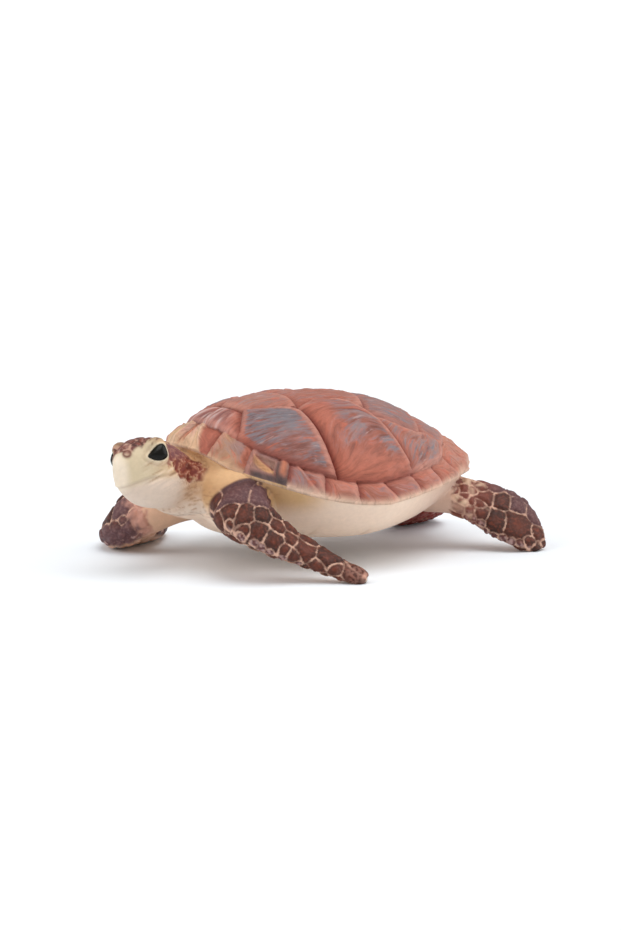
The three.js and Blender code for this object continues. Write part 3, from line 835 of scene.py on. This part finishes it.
def add_rolled(mesh, place, steps, around):
    """A grid rolled into a closed tube, each point set by its place along and round it."""
    made = bmesh.ops.create_grid(mesh, x_segments=steps, y_segments=around, size=1)["verts"]
    for vertex in made:
        vertex.co = place((vertex.co.x + 1) / 2, (vertex.co.y + 1) * math.pi)
    bmesh.ops.remove_doubles(mesh, verts=made, dist=1e-5)
    bmesh.ops.holes_fill(mesh, edges=[e for e in mesh.edges if e.is_boundary])


BELLY_FRONT, BELLY_REAR, FLANK = 4.6, 7.2, 4.5
BODY_REACH = 0.998  # how near the body comes to the rim


def on_body(point):
    """A point of a unit ball drawn out to the flat belly below and the inside of the shell above."""
    share = BODY_REACH * math.hypot(point.x, point.y)
    angle = math.atan2(point.x, -point.y)
    x, y = plan_point(share, angle)
    top = underside_height(share, angle) + 0.25
    if point.z > 0:
        return Vector((x, y, top))
    belly = mix(BELLY_FRONT, BELLY_REAR, max(0, y / SHELL_HALF_LENGTH) ** 1.4)
    return Vector((x, y, mix(belly, rim_height(angle) + 0.3, (share / BODY_REACH) ** FLANK)))


def add_lump(mesh, middle, half_sizes, place):
    """A ball drawn out to its half sizes about its middle, then put in place."""
    for vertex in bmesh.ops.create_uvsphere(mesh, u_segments=40, v_segments=24, radius=1)["verts"]:
        vertex.co = place([m + c * h for m, c, h in zip(middle, vertex.co, half_sizes)])


def on_flank(at, side):
    return side * at[0], at[1], at[2]


def on_face(at, side):
    out = at[0] + (FAR_OUT if side < 0 else 0)
    return HEAD_AT + HEAD_TURN @ Vector((side * out, at[1], at[2]))


SHOULDER = ((8.6, -22.3, 13.7), (7.7, 7.7, 6.7))  # a swelling that fills out the corner under the front rim
body_mesh = bmesh.new()
for ball_vertex in bmesh.ops.create_uvsphere(body_mesh, u_segments=120, v_segments=70, radius=1)["verts"]:
    ball_vertex.co = on_body(ball_vertex.co)
for side in (1, -1):
    add_lump(body_mesh, *SHOULDER, lambda at, side=side: on_flank(at, side))
add_rolled(body_mesh, lambda u, turn: on_limb(NECK, u, turn), 60, 72)
add_rolled(body_mesh, lambda u, turn: on_limb(TAIL, u, turn), 40, 40)
add_rolled(body_mesh, on_head, 110, 96)
for side in (1, -1):
    for middle, half_sizes in (BROW, ORBIT):
        add_lump(body_mesh, middle, half_sizes, lambda at, side=side: on_face(at, side))
for rows in FLIPPERS.values():
    add_rolled(body_mesh, lambda u, turn, rows=rows: on_limb(rows, u, turn), 110, 80)
bmesh.ops.recalc_face_normals(body_mesh, faces=body_mesh.faces)
FUSED_GRAIN = 0.24
EVERY_WAY = {"use_axis_x": True, "use_axis_y": True, "use_axis_z": True}
rough = set_out("rough_skin", finished(body_mesh, "rough_skin"))
fuse = rough.modifiers.new("fuse", "REMESH")
fuse.mode = "VOXEL"
fuse.voxel_size = FUSED_GRAIN
fused = bpy.data.meshes.new_from_object(rough.evaluated_get(bpy.context.evaluated_depsgraph_get()))
bpy.data.objects.remove(rough)

skin_mesh = bmesh.new()
skin_mesh.from_mesh(fused)
hidden = []
for vertex in skin_mesh.verts:
    share, angle = share_and_angle(vertex.co.x, vertex.co.y)
    if share < 0.9 and vertex.co.z > underside_height(share, angle) - 0.4:
        hidden.append(vertex)
bmesh.ops.delete(skin_mesh, geom=hidden, context="VERTS")
bmesh.ops.holes_fill(skin_mesh, edges=[e for e in skin_mesh.edges if e.is_boundary])
for _ in range(6):
    bmesh.ops.smooth_vert(skin_mesh, verts=skin_mesh.verts, factor=0.5, **EVERY_WAY)
# The crook between jaw, neck and shoulder is smoothed over more.
CROOK_AT = Vector((9, -27.5, 14.5))
CROOK_REACH = 6.5
crook = [v for v in skin_mesh.verts if (v.co - CROOK_AT).length < CROOK_REACH]
for _ in range(28):
    bmesh.ops.smooth_vert(skin_mesh, verts=crook, factor=0.6, **EVERY_WAY)
skin_mesh.normal_update()

# Scale plates: place along the limb, turn round it in degrees and size. The hand's broad face has these, and
# the face below them smaller ones in staggered rows.
PLATES = {
    "front_left": (
        (0.26, 84, 2.6), (0.32, 30, 2.0), (0.31, 112, 1.6), (0.29, 150, 1.0), (0.35, 100, 1.7),
        (0.39, 80, 1.4), (0.42, 30, 1.3), (0.41, 122, 1.7), (0.46, 84, 1.2), (0.47, 125, 1.7),
        (0.52, 45, 1.2), (0.53, 92, 1.1), (0.52, 137, 1.0), (0.57, 158, 1.2), (0.61, 108, 1.7),
        (0.61, 55, 1.2), (0.68, 158, 1.3), (0.7, 95, 1.7), (0.75, 135, 1.1), (0.84, 145, 1.5),
        (0.86, 80, 1.2), (0.38, 133, 1.1), (0.33, 138, 0.7), (0.38, 156, 0.7), (0.42, 162, 0.7),
        (0.445, 168, 0.7), (0.48, 176, 0.7), (0.53, 188, 0.7), (0.6, 185, 0.7), (0.24, 120, 1.2),
    ),
    "front_right": (
        (0.34, 88, 2.0), (0.38, 42, 1.1), (0.28, 20, 1.2), (0.33, 25, 1.0), (0.43, 40, 1.1),
        (0.43, 2, 1.0), (0.38, 342, 1.0), (0.29, 50, 0.8), (0.22, 12, 1.0), (0.38, 12, 0.8),
        (0.34, 355, 0.8), (0.28, 348, 0.8), (0.34, 55, 0.8), (0.47, 20, 0.9), (0.48, 345, 0.9),
        (0.33, 325, 0.8), (0.42, 80, 1.6), (0.5, 60, 1.7), (0.52, 100, 1.6), (0.5, 20, 1.3),
        (0.58, 70, 1.8), (0.6, 115, 1.4), (0.6, 25, 1.2), (0.68, 80, 1.7), (0.7, 35, 1.2),
        (0.7, 125, 1.2), (0.78, 75, 1.5), (0.86, 85, 1.3), (0.44, 120, 1.4), (0.35, 130, 1.3),
        (0.25, 90, 1.3),
    ),
    "rear_left": (
        (0.2, 100, 0.6), (0.21, 70, 0.5), (0.25, 92, 0.6), (0.26, 122, 0.6), (0.22, 122, 0.5),
        (0.17, 112, 0.5), (0.17, 84, 0.5), (0.31, 112, 0.9), (0.28, 75, 0.8), (0.34, 52, 0.9),
        (0.32, 90, 1.3), (0.4, 80, 1.4), (0.49, 65, 1.5), (0.64, 55, 1.6), (0.42, 22, 0.9),
        (0.51, 18, 0.9), (0.34, 130, 1.3), (0.43, 122, 1.7), (0.55, 105, 2.3), (0.27, 148, 0.8),
        (0.21, 172, 0.7), (0.26, 196, 0.7), (0.31, 192, 0.7), (0.36, 190, 0.7), (0.41, 188, 0.7),
        (0.46, 185, 0.7), (0.51, 176, 0.7), (0.565, 166, 0.7), (0.62, 150, 0.7), (0.67, 128, 0.8),
        (0.74, 95, 1.0), (0.22, 140, 0.7), (0.3, 168, 0.7), (0.36, 160, 0.8),
    ),
}
PLATES["rear_right"] = PLATES["rear_left"]
BACK_ROWS, BACK_COLUMNS = 10, 4
plate_tree = KDTree(sum(len(p) for p in PLATES.values()) + len(FLIPPERS) * BACK_ROWS * BACK_COLUMNS)
plates = []
for limb, (name, rows) in enumerate(FLIPPERS.items()):
    laid = list(PLATES[name])
    for row in range(BACK_ROWS):
        for column in range(BACK_COLUMNS):
            laid.append((0.22 + 0.07 * row, 215 + 36 * column + 18 * (row % 2), 1.0))
    for u, turn, size in laid:
        plate_tree.insert(on_limb(rows, u, math.radians(turn)), len(plates))
        plates.append((limb, u, turn % 360, size))
plate_tree.balance()

SPINE_STEPS = 80
spine_tree = KDTree(len(FLIPPERS) * SPINE_STEPS)
for limb, rows in enumerate(FLIPPERS.values()):
    for step in range(SPINE_STEPS):
        spine_tree.insert(limb_frame(rows, step / (SPINE_STEPS - 1))[0], limb * SPINE_STEPS + step)
spine_tree.balance()

PALE_CREAM = sprayed(234, 208, 186)
WARM_CREAM = sprayed(214, 178, 136)
NAPE_OCHRE = sprayed(190, 146, 104)
JAW_PINK = sprayed(214, 193, 175)
SNOUT_GREEN = sprayed(200, 182, 152)
PLATE_BROWN = sprayed(50, 20, 9)
PLATE_RED = sprayed(112, 50, 30)
PLUM_GREY = sprayed(88, 56, 58)
LINE_PINK = sprayed(204, 162, 140)
DEEP_RED = sprayed(112, 48, 38)
TEMPLE_RED = sprayed(142, 76, 56)
CROWN_BROWN = sprayed(104, 60, 54)
DARK_MARK = sprayed(62, 30, 24)

EYE_AT = Vector((5.1, -3.8, 3.0))  # left, back and up in the head
EYE_OUT = Vector((0.8, -0.55, 0.22)).normalized()
# The eye's outline is a rounded triangle. These are its reaches from the middle, every 20 degrees from the
# beak's side round over the top.
EYE_REACH = (
    1.42, 1.17, 1.1, 1.15, 1.32, 1.6, 1.88, 1.79, 1.69, 1.71, 1.77, 1.64, 1.51, 1.43, 1.41, 1.49, 1.7, 1.96,
)


def eye_axes(side):
    ahead = Vector((0, -1, 0.267))
    ahead = (ahead - EYE_OUT * ahead.dot(EYE_OUT)).normalized()
    mirror = Vector((side, 1, 1))
    middle = EYE_AT + Vector((FAR_OUT if side < 0 else 0, 0, 0))
    return [HEAD_TURN @ (axis * mirror) for axis in (middle, ahead, ahead.cross(EYE_OUT), EYE_OUT)]


def eye_outline(turn):
    """How far the eye's outline lies from its middle, along and up."""
    place = math.degrees(turn) % 360 / 20
    i, t = int(place), place % 1
    a, b, c, d = (EYE_REACH[(i + k) % 18] for k in (-1, 0, 1, 2))
    reach = 0.5 * (2 * b + (c - a) * t + (2 * a - 5 * b + 4 * c - d) * t * t + (3 * b - a - 3 * c + d) * t**3)
    return reach * math.cos(turn), reach * math.sin(turn)


eye_places = {side: eye_axes(side) for side in (1, -1)}


def from_eye(point, side):
    """How far a point lies outside the eye's outline (negative inside it) and out from the rim's plane."""
    centre, ahead, upward, outward = eye_places[side]
    offset = point - HEAD_AT - centre
    along, up = offset.dot(ahead), offset.dot(upward)
    edge = math.hypot(*eye_outline(math.atan2(up, along)))
    return math.hypot(along, up) - edge, offset.dot(outward)


FLIPPER_ROWS = list(FLIPPERS.values())
FRAME_STEPS = 500
limb_frames = [
    [limb_frame(rows, step / FRAME_STEPS) for step in range(FRAME_STEPS + 1)] for rows in FLIPPER_ROWS
]
limb_lengths = [sum((a[0] - b[0]).length for a, b in zip(frames, frames[1:])) for frames in limb_frames]


def limb_place(point):
    """Which limb a point lies on, where along and round it, and how far off its modelled surface."""
    limb, step = divmod(spine_tree.find(point)[1], SPINE_STEPS)
    step *= FRAME_STEPS / (SPINE_STEPS - 1)
    for _ in range(3):
        frame_here = limb_frames[limb][min(FRAME_STEPS, max(0, round(step)))]
        step += (point - frame_here[0]).dot(frame_here[1]) / limb_lengths[limb] * FRAME_STEPS
    step = min(FRAME_STEPS, max(0, step))
    centre, _, breadth, depth, half_breadth, half_thickness = limb_frames[limb][round(step)]
    offset = point - centre
    a, b = offset.dot(breadth) / half_breadth, offset.dot(depth) / half_thickness
    r = max(1e-6, (abs(a) ** SECTION_POWER + abs(b) ** SECTION_POWER) ** (1 / SECTION_POWER))
    off = abs(r - 1) * min(half_breadth, half_thickness)
    turn = math.degrees(math.atan2(power_of(b / r, 1.15), power_of(a / r, 1.15))) % 360
    return off, limb, step / FRAME_STEPS, turn


def flipper_skin(point, limb, u, turn):
    found = []
    for _, index, distance in plate_tree.find_n(point, 7):
        if plates[index][0] == limb:
            found.append((distance / plates[index][3], index))
    found.sort()
    (f1, i1), (f2, i2) = found[0], found[min(1, len(found) - 1)]
    s1, s2 = plates[i1][3], plates[i2][3]
    wobble = 0.14 * noise.noise(point * 1.1) + 0.1 * noise.noise(point * 2.6)
    border = max(0.0, (f2 - f1) / (1 / s1 + 1 / s2) + wobble)
    below = ease(195, 225, turn) * (1 - ease(325, 350, turn))
    edge_on = (1 - ease(22, 55, turn)) if turn < 180 else ease(330, 350, turn)
    chance = 0.5 + 0.5 * noise.cell(Vector((i1 * 1.7, i1 * 0.3, 2)))
    inside = ease(0.05, 0.2, border + 0.3 * edge_on)
    lift = 0.26 * ease(0.1, 0.8, border) - 0.14 * bump(0.2, 0.12, border) + 0.05 * bump(0, 0.1, border)
    fleck = ease(0.05, 0.45, noise.noise(point * 2.4 + Vector((5, 1, 3))))
    # Plates are redder at random and toward their middles; the redder middles are painted highlight on raised
    # plates.
    colour = blend(PLATE_BROWN, PLATE_RED, min(1, 0.3 * chance + 0.4 * bump(0, 0.5, f1) + 0.5 * fleck))
    purple = 0.9 * edge_on + (0.85 if s1 >= 1.9 and limb < 2 else 0) + (0.8 * chance if limb == 1 else 0)
    purple += 0.8 if limb >= 2 and plates[i1][2] < 66 and s1 >= 0.9 else 0
    colour = blend(colour, PLUM_GREY, min(1, purple))
    # The dry brush catches the raised middles and leaves a scratchy bloom.
    bloom = ease(0.0, 0.5, noise.noise(Vector((point.x * 1.2, point.y * 2.6, point.z * 2.6))))
    scratch = ease(0.1, 0.4, noise.noise(Vector((point.x * 2.2, point.y * 4.5, point.z * 4.5))))
    colour = blend(colour, sprayed(150, 112, 106), (0.12 + 0.36 * min(1, purple)) * (bloom + scratch) / 2)
    # Painted shade darkens the top of the front left shoulder, where it rounds over.
    if limb == 0:  # the shoulder's top is darkest
        colour = blend(colour, sprayed(66, 40, 42), 0.6 * (1 - ease(0.22, 0.27, u)) * (1 - below))
    small = ease(140, 165, turn) * (1 - below) if s1 < 1 else 0
    dotted = ease(-0.1, 0.3, noise.noise(point * 1.7 + Vector((8, 8, 1))))
    colour = blend(colour, blend(sprayed(92, 54, 54), sprayed(176, 142, 136), dotted), 0.8 * small)
    if limb >= 2:  # the rear flippers' roots are pinker and their plates smaller
        root = 1 - ease(0.24, 0.4, u)
        colour = blend(colour, sprayed(140, 74, 60), 0.5 * root)
        spread = ease(0.16, 0.3, u + 0.12 * noise.noise(point * 0.9))
        colour = blend(sprayed(206, 172, 146), colour, mix(ease(0.35, 0.5, chance), 1, spread))
    paled = 0.35 + 0.65 * ease(-0.25, 0.3, noise.noise(point * 0.9 + Vector((4, 4, 4))))
    line = blend(colour, LINE_PINK, paled)
    colour = blend(line, colour, inside)
    under = blend(WARM_CREAM, LINE_PINK, 0.5 + 0.5 * noise.noise(point * 0.5))
    under = blend(under, sprayed(188, 128, 106), 0.5)
    reddened = ease(-0.1, 0.5, noise.noise(point * 0.35 + Vector((3, 5, 7))))
    under = blend(under, PLATE_RED, 0.45 * inside * reddened)
    if limb == 1:
        root = 1 - ease(0.27, 0.33, u + 0.04 * noise.noise(point))
        colour = blend(colour, sprayed(206, 152, 132), 0.75 * root)
        colour = blend(colour, sprayed(206, 152, 132), 0.7 * edge_on * ease(0.55, 0.7, u))
        covered = ease(0.0, 0.4, noise.noise(point * 0.5 + Vector((1, 1, 1))))
        under = blend(sprayed(222, 182, 158), under, covered)
    if limb == 3:
        worm = abs(noise.noise(point * 1.1))
        under = blend(sprayed(118, 38, 28), LINE_PINK, 0.4 * (1 - ease(0.02, 0.12, worm)))
    colour = blend(colour, under, below)
    if limb == 0:  # the tip is brushed salmon over a dark end
        rubbed = ease(0.74, 0.86, u + 0.06 * noise.noise(point * 0.9))
        grainy = blend(sprayed(150, 106, 92), PLATE_BROWN, ease(-0.1, 0.4, noise.noise(point * 2.2)))
        colour = blend(colour, grainy, 0.6 * rubbed)
        # The salmon on the tip's upper face is brushed paint, lightened further as painted highlight.
        salmon = 0.8 * ease(0.91, 0.96, u) * ease(60, 110, turn) * (1 - below)
        colour = blend(colour, sprayed(202, 152, 132), salmon)
        colour = blend(colour, PLATE_BROWN, 0.7 * ease(0.88, 0.93, u) * ease(120, 160, turn))
    return lift, colour


CROWN_ROWS = (7.4, 5.2, 3.0, 0.6, -1.9, -4.6)  # forward in the head
CROWN_COLUMNS = ((-1.7, 0.5), (0.1, -0.6), (1.9, 0.7))  # to its left, and how far ahead of the row
CROWN_SEEDS = [(f + ahead, v) for f in CROWN_ROWS for v, ahead in CROWN_COLUMNS]
LID_CREAM = sprayed(224, 208, 180)


def head_skin(point, forward, left, up):
    side = 1 if left >= 0 else -1
    lift = 0.0
    weave = noise.noise(point * 0.9)
    # Warm cream behind, greenish cream on the snout and pinkish white on the jaw.
    colour = blend(WARM_CREAM, SNOUT_GREEN, ease(0, 6, forward))
    mouth = -1.2 - 0.95 * ease(5, 10, forward)
    colour = blend(JAW_PINK, colour, ease(mouth - 1.4, mouth + 0.9, up + 0.3 * weave))
    # The beak's tip is paler, and the head's right side is paled a little as painted light.
    beak_and_lit_side = 0.85 * ease(7.9, 9.4, forward) + 0.15 * ease(0, 2.5, -left)
    colour = blend(colour, sprayed(228, 212, 192), beak_and_lit_side)
    # Behind the jaw the skin turns ochre and is finely creased.
    nape = ease(0.8, -3.8, forward)
    fold = noise.noise(Vector((forward * 1.0, up * 2.7 + forward * 0.5, left * 0.9)))
    lift += 0.08 * fold * nape
    colour = blend(colour, NAPE_OCHRE, 0.85 * nape * ease(-8.6, -4.4, up + 0.6 * weave))
    colour = blend(colour, sprayed(158, 112, 76), 0.55 * nape * ease(0.15, 0.45, -fold))
    # The mouth is a shallow line from the beak's tip to below the rear of the eye.
    if forward > -1.5:
        depth = bump(mouth, 0.2, up) * ease(-1.5, 1.5, forward)
        lift += 0.1 * bump(mouth + 0.5, 0.35, up) * ease(2, 5, forward) - 0.2 * depth
        colour = blend(colour, TEMPLE_RED, 0.1 * depth)
    # Creases fan back from the corner of the mouth over the cheek.
    cheek = ease(-6, -1, forward) * (1 - ease(5, 7, forward)) * ease(-6, -4, up) * (1 - ease(1, 2.2, up))
    crease = noise.noise(Vector((forward * 0.3, up * 2.2 + forward * 0.9, 4.2 * side)))
    lift += 0.14 * crease * cheek
    colour = blend(colour, sprayed(150, 108, 80), 0.6 * cheek * ease(0.1, 0.45, -crease) * ease(-3.5, -1, up))
    colour = blend(colour, PALE_CREAM, 0.5 * cheek * ease(0.1, 0.45, crease))
    marks = ease(0.15, 0.35, noise.noise(point * 1.3 + Vector((2, 2, 7)))) * bump(1.2, 2.2, forward)
    colour = blend(colour, sprayed(150, 90, 74), 0.75 * marks * bump(0.2, 0.9, up - 0.25 * forward))
    # Behind the eye lies a patch of small wrinkled scales, plum at its top and broken up below.
    reach = math.hypot((forward + 2.1 - 0.5 * up) / 3.7, (up - 0.8) / 3.8)
    ragged = mix(0.34, 0.1, ease(0.5, 2.5, up))
    patch = ease(-0.06, 0.1, 1 - reach + ragged * noise.noise(point * 0.7) + 0.1 * noise.noise(point * 2.1))
    patch *= 1 - ease(3.4, 4.2, up) * ease(0, 1.5, forward)
    worm = abs(noise.noise(point * 0.8) + 0.35 * noise.noise(point * 1.9))
    vein = (1 - ease(0.0, 0.11, worm)) * mix(1, 0.45, ease(1, 2.5, up))
    lift += patch * (0.26 * vein - 0.12)
    red = blend(TEMPLE_RED, DEEP_RED, ease(0.1, 0.4, worm))
    red = blend(red, sprayed(112, 68, 70), 0.85 * ease(0.6, 2.6, up + 0.5 * weave))
    red = blend(red, sprayed(214, 164, 134), 0.55 * vein)
    core = ease(0.1, 0.35, noise.noise(point * 0.75 + Vector((9, 2, 5))))
    core *= bump(-3.2, 2.2, forward) * (1 - ease(1, 2, up))
    red = blend(red, sprayed(84, 30, 22), 0.8 * core)
    colour = blend(colour, red, patch)
    # Below and behind it the scales thin out into small brown arcs.
    arcs = 1 - ease(0.02, 0.09, abs(noise.noise(point * 1.25 + Vector((1, 8, 3)))))
    arcs *= 1 - ease(0.0, 0.1, patch)
    arcs *= (1 - ease(1.0, 1.75, reach)) * (1 - ease(1.5, 3, up)) * (1 - ease(-0.5, 2, forward))
    lift += 0.08 * arcs
    colour = blend(colour, sprayed(150, 96, 70), 0.7 * arcs)
    # The crown and the top of the snout carry plum scales with dark marks between them.
    half = min(3.0, 1.5 + 0.55 * (7.6 - forward)) + (1.6 * ease(-1, 1.5, forward) if left < 0 else 0)
    on_top = (1 - ease(half - 0.35, half + 0.2, abs(left) + 0.5 * weave)) * ease(1.5, 3, up)
    on_top *= ease(-8, -5.5, forward) * (1 - ease(7.9, 8.5, forward + 0.4 * weave))
    if on_top > 0:
        sway = 0.5 * noise.noise(point * 0.6 + Vector((7, 7, 7)))
        places = sorted(math.hypot(forward - f + sway, (left - v + sway) * 1.1) for f, v in CROWN_SEEDS)
        border = (places[1] - places[0]) / 2 + 0.2 * weave
        lift += on_top * (0.22 * ease(0.05, 0.6, border) - 0.06)
        scale = blend(CROWN_BROWN, TEMPLE_RED, min(1, max(0, 0.25 + 0.9 * weave)))
        scale = blend(scale, sprayed(168, 132, 118), 0.5 * ease(0.1, 0.4, noise.noise(point * 2.4)))
        scale = blend(scale, DARK_MARK, 0.85 * (1 - ease(0.1, 0.4, border)) * ease(-0.25, 0.1, weave))
        squiggle = abs(noise.noise(point * 0.7 + Vector((6, 1, 1))))
        squiggle = (1 - ease(0.05, 0.14, squiggle)) * ease(0.5, 1.4, left) * ease(2, 4, forward)
        scale = blend(scale, DARK_MARK, 0.9 * squiggle)
        scale = blend(scale, LINE_PINK, 0.7 * (1 - ease(0.05, 0.3, border)) * ease(0.05, 0.3, -weave))
        colour = blend(colour, scale, on_top)
    # The brows are tan lumps, grey brown on top.
    brow = math.hypot((forward - 2.9) / 2.6, (abs(left) - 4.2) / 1.6) if up > 3.2 else 9
    colour = blend(colour, sprayed(150, 120, 92), 0.75 * (1 - ease(0.6, 1.2, brow)) * ease(4.6, 5.6, up))
    lines = noise.noise(Vector((forward * 0.7, left * 2.6 - forward * 0.9, up * 1.2)))
    lines = ease(0.12, 0.35, -lines) * (1 - ease(0.9, 1.5, brow)) * ease(4.2, 5, up)
    colour = blend(colour, sprayed(96, 62, 46), 0.7 * lines)
    lift -= 0.08 * lines
    # Each nostril is a small ring.
    ring = math.hypot(forward - 7.9, (abs(left) - 1.5) * 1.1, up - 3.75)
    lift += 0.18 * bump(0.64, 0.25, ring) - 0.14 * bump(0, 0.35, ring)
    colour = blend(colour, sprayed(100, 48, 38), 0.95 * bump(0.66, 0.28, ring))
    colour = blend(colour, LINE_PINK, 0.8 * bump(0, 0.3, ring))
    # A thin pale lid rims the eye, with a soft fold outside it that is darkened a little as painted shade.
    if (point - HEAD_AT - eye_places[side][0]).length < 5:
        outside, _ = from_eye(point, side)
        lift += 0.07 * bump(1.3, 0.35, outside) - 0.08 * bump(0.75, 0.22, outside)
        colour = blend(colour, LID_CREAM, 0.9 * (1 - ease(0.12, 0.36, outside)))
        colour = blend(colour, DARK_MARK, 0.8 * (1 - ease(-0.04, 0.1, outside)))
        colour = blend(colour, TEMPLE_RED, 0.12 * bump(0.75, 0.22, outside))
    return lift, colour


def body_skin(point):
    x, y, z = point
    share = share_and_angle(x, y)[0]
    colour = blend(PALE_CREAM, sprayed(206, 166, 120), ease(-10, -17, y) * ease(10, 14, z))
    colour = blend(colour, sprayed(198, 162, 144), 0.75 * ease(2, 22, y))
    lift = 0.0
    # The neck is finely wrinkled round itself.
    neck = ease(-17, -23, y) * ease(9, 11, z)
    crease = noise.noise(Vector((x * 0.8, y * 0.8 + z * 0.4, z * 2.4 - y * 0.4)))
    lift += 0.08 * crease * neck
    colour = blend(colour, NAPE_OCHRE, 0.9 * neck * ease(11.5, 15.5, z + 0.6 * noise.noise(point * 0.9)))
    # The top of the neck under the front rim is lightened, painted light against the rim's shadow.
    colour = blend(colour, sprayed(214, 172, 128), 0.7 * neck * ease(15.5, 18.5, z))
    creased = 0.5 * neck * ease(0.15, 0.5, -crease) * (1 - ease(15, 17, z))
    colour = blend(colour, sprayed(158, 112, 76), creased)
    far_arm = 0.7 * ease(-14, -20, y) * (1 - ease(10, 13, z)) * ease(-2, -7, x)
    colour = blend(colour, sprayed(208, 160, 126), far_arm)
    # Shallow seams part the plates of the belly.
    if z < 9 and share < 0.88:
        seams = [abs(x)] + [abs(y - seam + 0.12 * abs(x)) for seam in (-19, -9, 1, 11, 20)]
        fading = 1 - ease(0.66, 0.86, share)
        lift -= 0.22 * bump(0, 0.35, min(seams)) * fading
        colour = blend(colour, sprayed(196, 160, 132), 0.4 * bump(0, 0.4, min(seams)) * fading)
    return lift, colour


PLATES_START = (0.19, 0.25, 0.17, 0.17)
skin_colours = []
lifted = []
for vertex in skin_mesh.verts:
    point = vertex.co.copy()
    lift, colour = body_skin(point)
    forward, left, up = from_head(point)
    heads = ease(-8.5, -5.5, forward) if abs(left) < 8 and -9 < up < 7.5 else 0
    heads *= 1 - ease(6.8, 8, abs(left))
    if heads > 0:
        head_lift, head_colour = head_skin(point, forward, left, up)
        lift = mix(lift, head_lift, heads)
        colour = blend(colour, head_colour, heads)
    if point.z < 18 and heads < 1 and spine_tree.find(point)[2] < 7.5:
        off, limb, u, turn = limb_place(point)
        ragged_u = u + 0.02 * noise.noise(point * 1.3)
        on = (1 - ease(0.3, 0.9, off)) * ease(PLATES_START[limb] - 0.02, PLATES_START[limb] + 0.01, ragged_u)
        if on > 0:
            limb_lift, limb_colour = flipper_skin(point, limb, u, turn)
            lift = mix(lift, limb_lift, on)
            colour = blend(colour, limb_colour, on)
    if point.z < 0.35:
        lift = min(lift, 0)
    skin_colours.append(colour)
    position = point + vertex.normal * lift
    side = 1 if left >= 0 else -1
    if heads > 0 and (point - HEAD_AT - eye_places[side][0]).length < 4.5:
        # The skin round the eye lies in the plane of its rim, and inside the rim it sinks into the socket.
        outside, out = from_eye(point, side)
        level = 0.1 - 0.25 * max(0, outside) - 1.1 * (1 - ease(-0.4, 0.0, outside))
        held = (1 - ease(0.1, 1.1, outside)) * ease(-3.2, -2.2, out)
        position += eye_places[side][3] * (level - out) * held
    lifted.append(position)
for vertex, position in zip(skin_mesh.verts, lifted):
    position.z = max(position.z, 0)
    vertex.co = placed(position)
for face in skin_mesh.faces:
    face.smooth = True
skin_data = finished(skin_mesh, "skin")
skin_paint = skin_data.attributes.new("paint", "FLOAT_COLOR", "POINT")
skin_paint.data.foreach_set("color", [c for colour in skin_colours for c in (*colour, 1)])
skin_data.materials.append(painted_vinyl("skin_paint", 1100, 0.06, 0.25))
skin = set_out("skin", skin_data)
# The undersides behind the head are thinned to keep the piece light; the rest of the mesh stays as it is.
SKIN_TRIANGLES = 192000
THINNED_SLOPE = -0.35
head_end = placed((0, -29, 0)).y
under = [v.index for v in skin_data.vertices if v.normal.z < THINNED_SLOPE and v.co.y > head_end]
skin.vertex_groups.new(name="under").add(under, 1, "REPLACE")
skin_data.calc_loop_triangles()
thin = skin.modifiers.new("thin", "DECIMATE")
thin.vertex_group = "under"
thin.ratio = SKIN_TRIANGLES / len(skin_data.loop_triangles)
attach(skin, "root")
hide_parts("torso", "neck", "head", "tail")
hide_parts("front_flipper_left", "front_flipper_right", "rear_flipper_left", "rear_flipper_right")

# ---- eyes --------------------------------------------------------------------------------------------------
# Each eye is a small domed teardrop in the same vinyl, painted dark brown to black and varnished, so that it
# is the only wet-looking piece on the toy.
eye_paint = bpy.data.materials.new("eye_varnish")
eye_paint.use_nodes = True
nodes, links = eye_paint.node_tree.nodes, eye_paint.node_tree.links
eye_shader = nodes["Principled BSDF"]
eye_shader.inputs["Roughness"].default_value = 0.18
eye_shader.inputs["Specular IOR Level"].default_value = 0.17
eye_where = nodes.new("ShaderNodeTexCoord")
eye_mottle = nodes.new("ShaderNodeTexNoise")
eye_mottle.inputs["Scale"].default_value = 500
eye_tones = nodes.new("ShaderNodeValToRGB")
eye_tones.color_ramp.elements[0].color = (*sprayed(7, 6, 5), 1)
eye_tones.color_ramp.elements[1].color = (*sprayed(26, 23, 16), 1)
links.new(eye_where.outputs["Object"], eye_mottle.inputs["Vector"])
links.new(eye_mottle.outputs["Fac"], eye_tones.inputs["Fac"])
links.new(eye_tones.outputs["Color"], eye_shader.inputs["Base Color"])
for side, name in ((1, "eye_left"), (-1, "eye_right")):
    centre, ahead, upward, outward = eye_places[side]
    eye_mesh = bmesh.new()
    for ball_vertex in bmesh.ops.create_uvsphere(eye_mesh, u_segments=64, v_segments=32, radius=1)["verts"]:
        turn = math.atan2(ball_vertex.co.y, ball_vertex.co.x)
        size = math.hypot(ball_vertex.co.x, ball_vertex.co.y)
        along, up = eye_outline(turn)
        out = (0.8 if ball_vertex.co.z > 0 else 1.2) * ball_vertex.co.z - 0.1
        ball_vertex.co = placed(HEAD_AT + centre + ahead * along * size + upward * up * size + outward * out)
    bmesh.ops.recalc_face_normals(eye_mesh, faces=eye_mesh.faces)
    for face in eye_mesh.faces:
        face.smooth = True
    eye_data = finished(eye_mesh, name + "_ball")
    eye_data.materials.append(eye_paint)
    eye = set_out(name + "_ball", eye_data)
    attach(eye, "root")
    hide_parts(name)
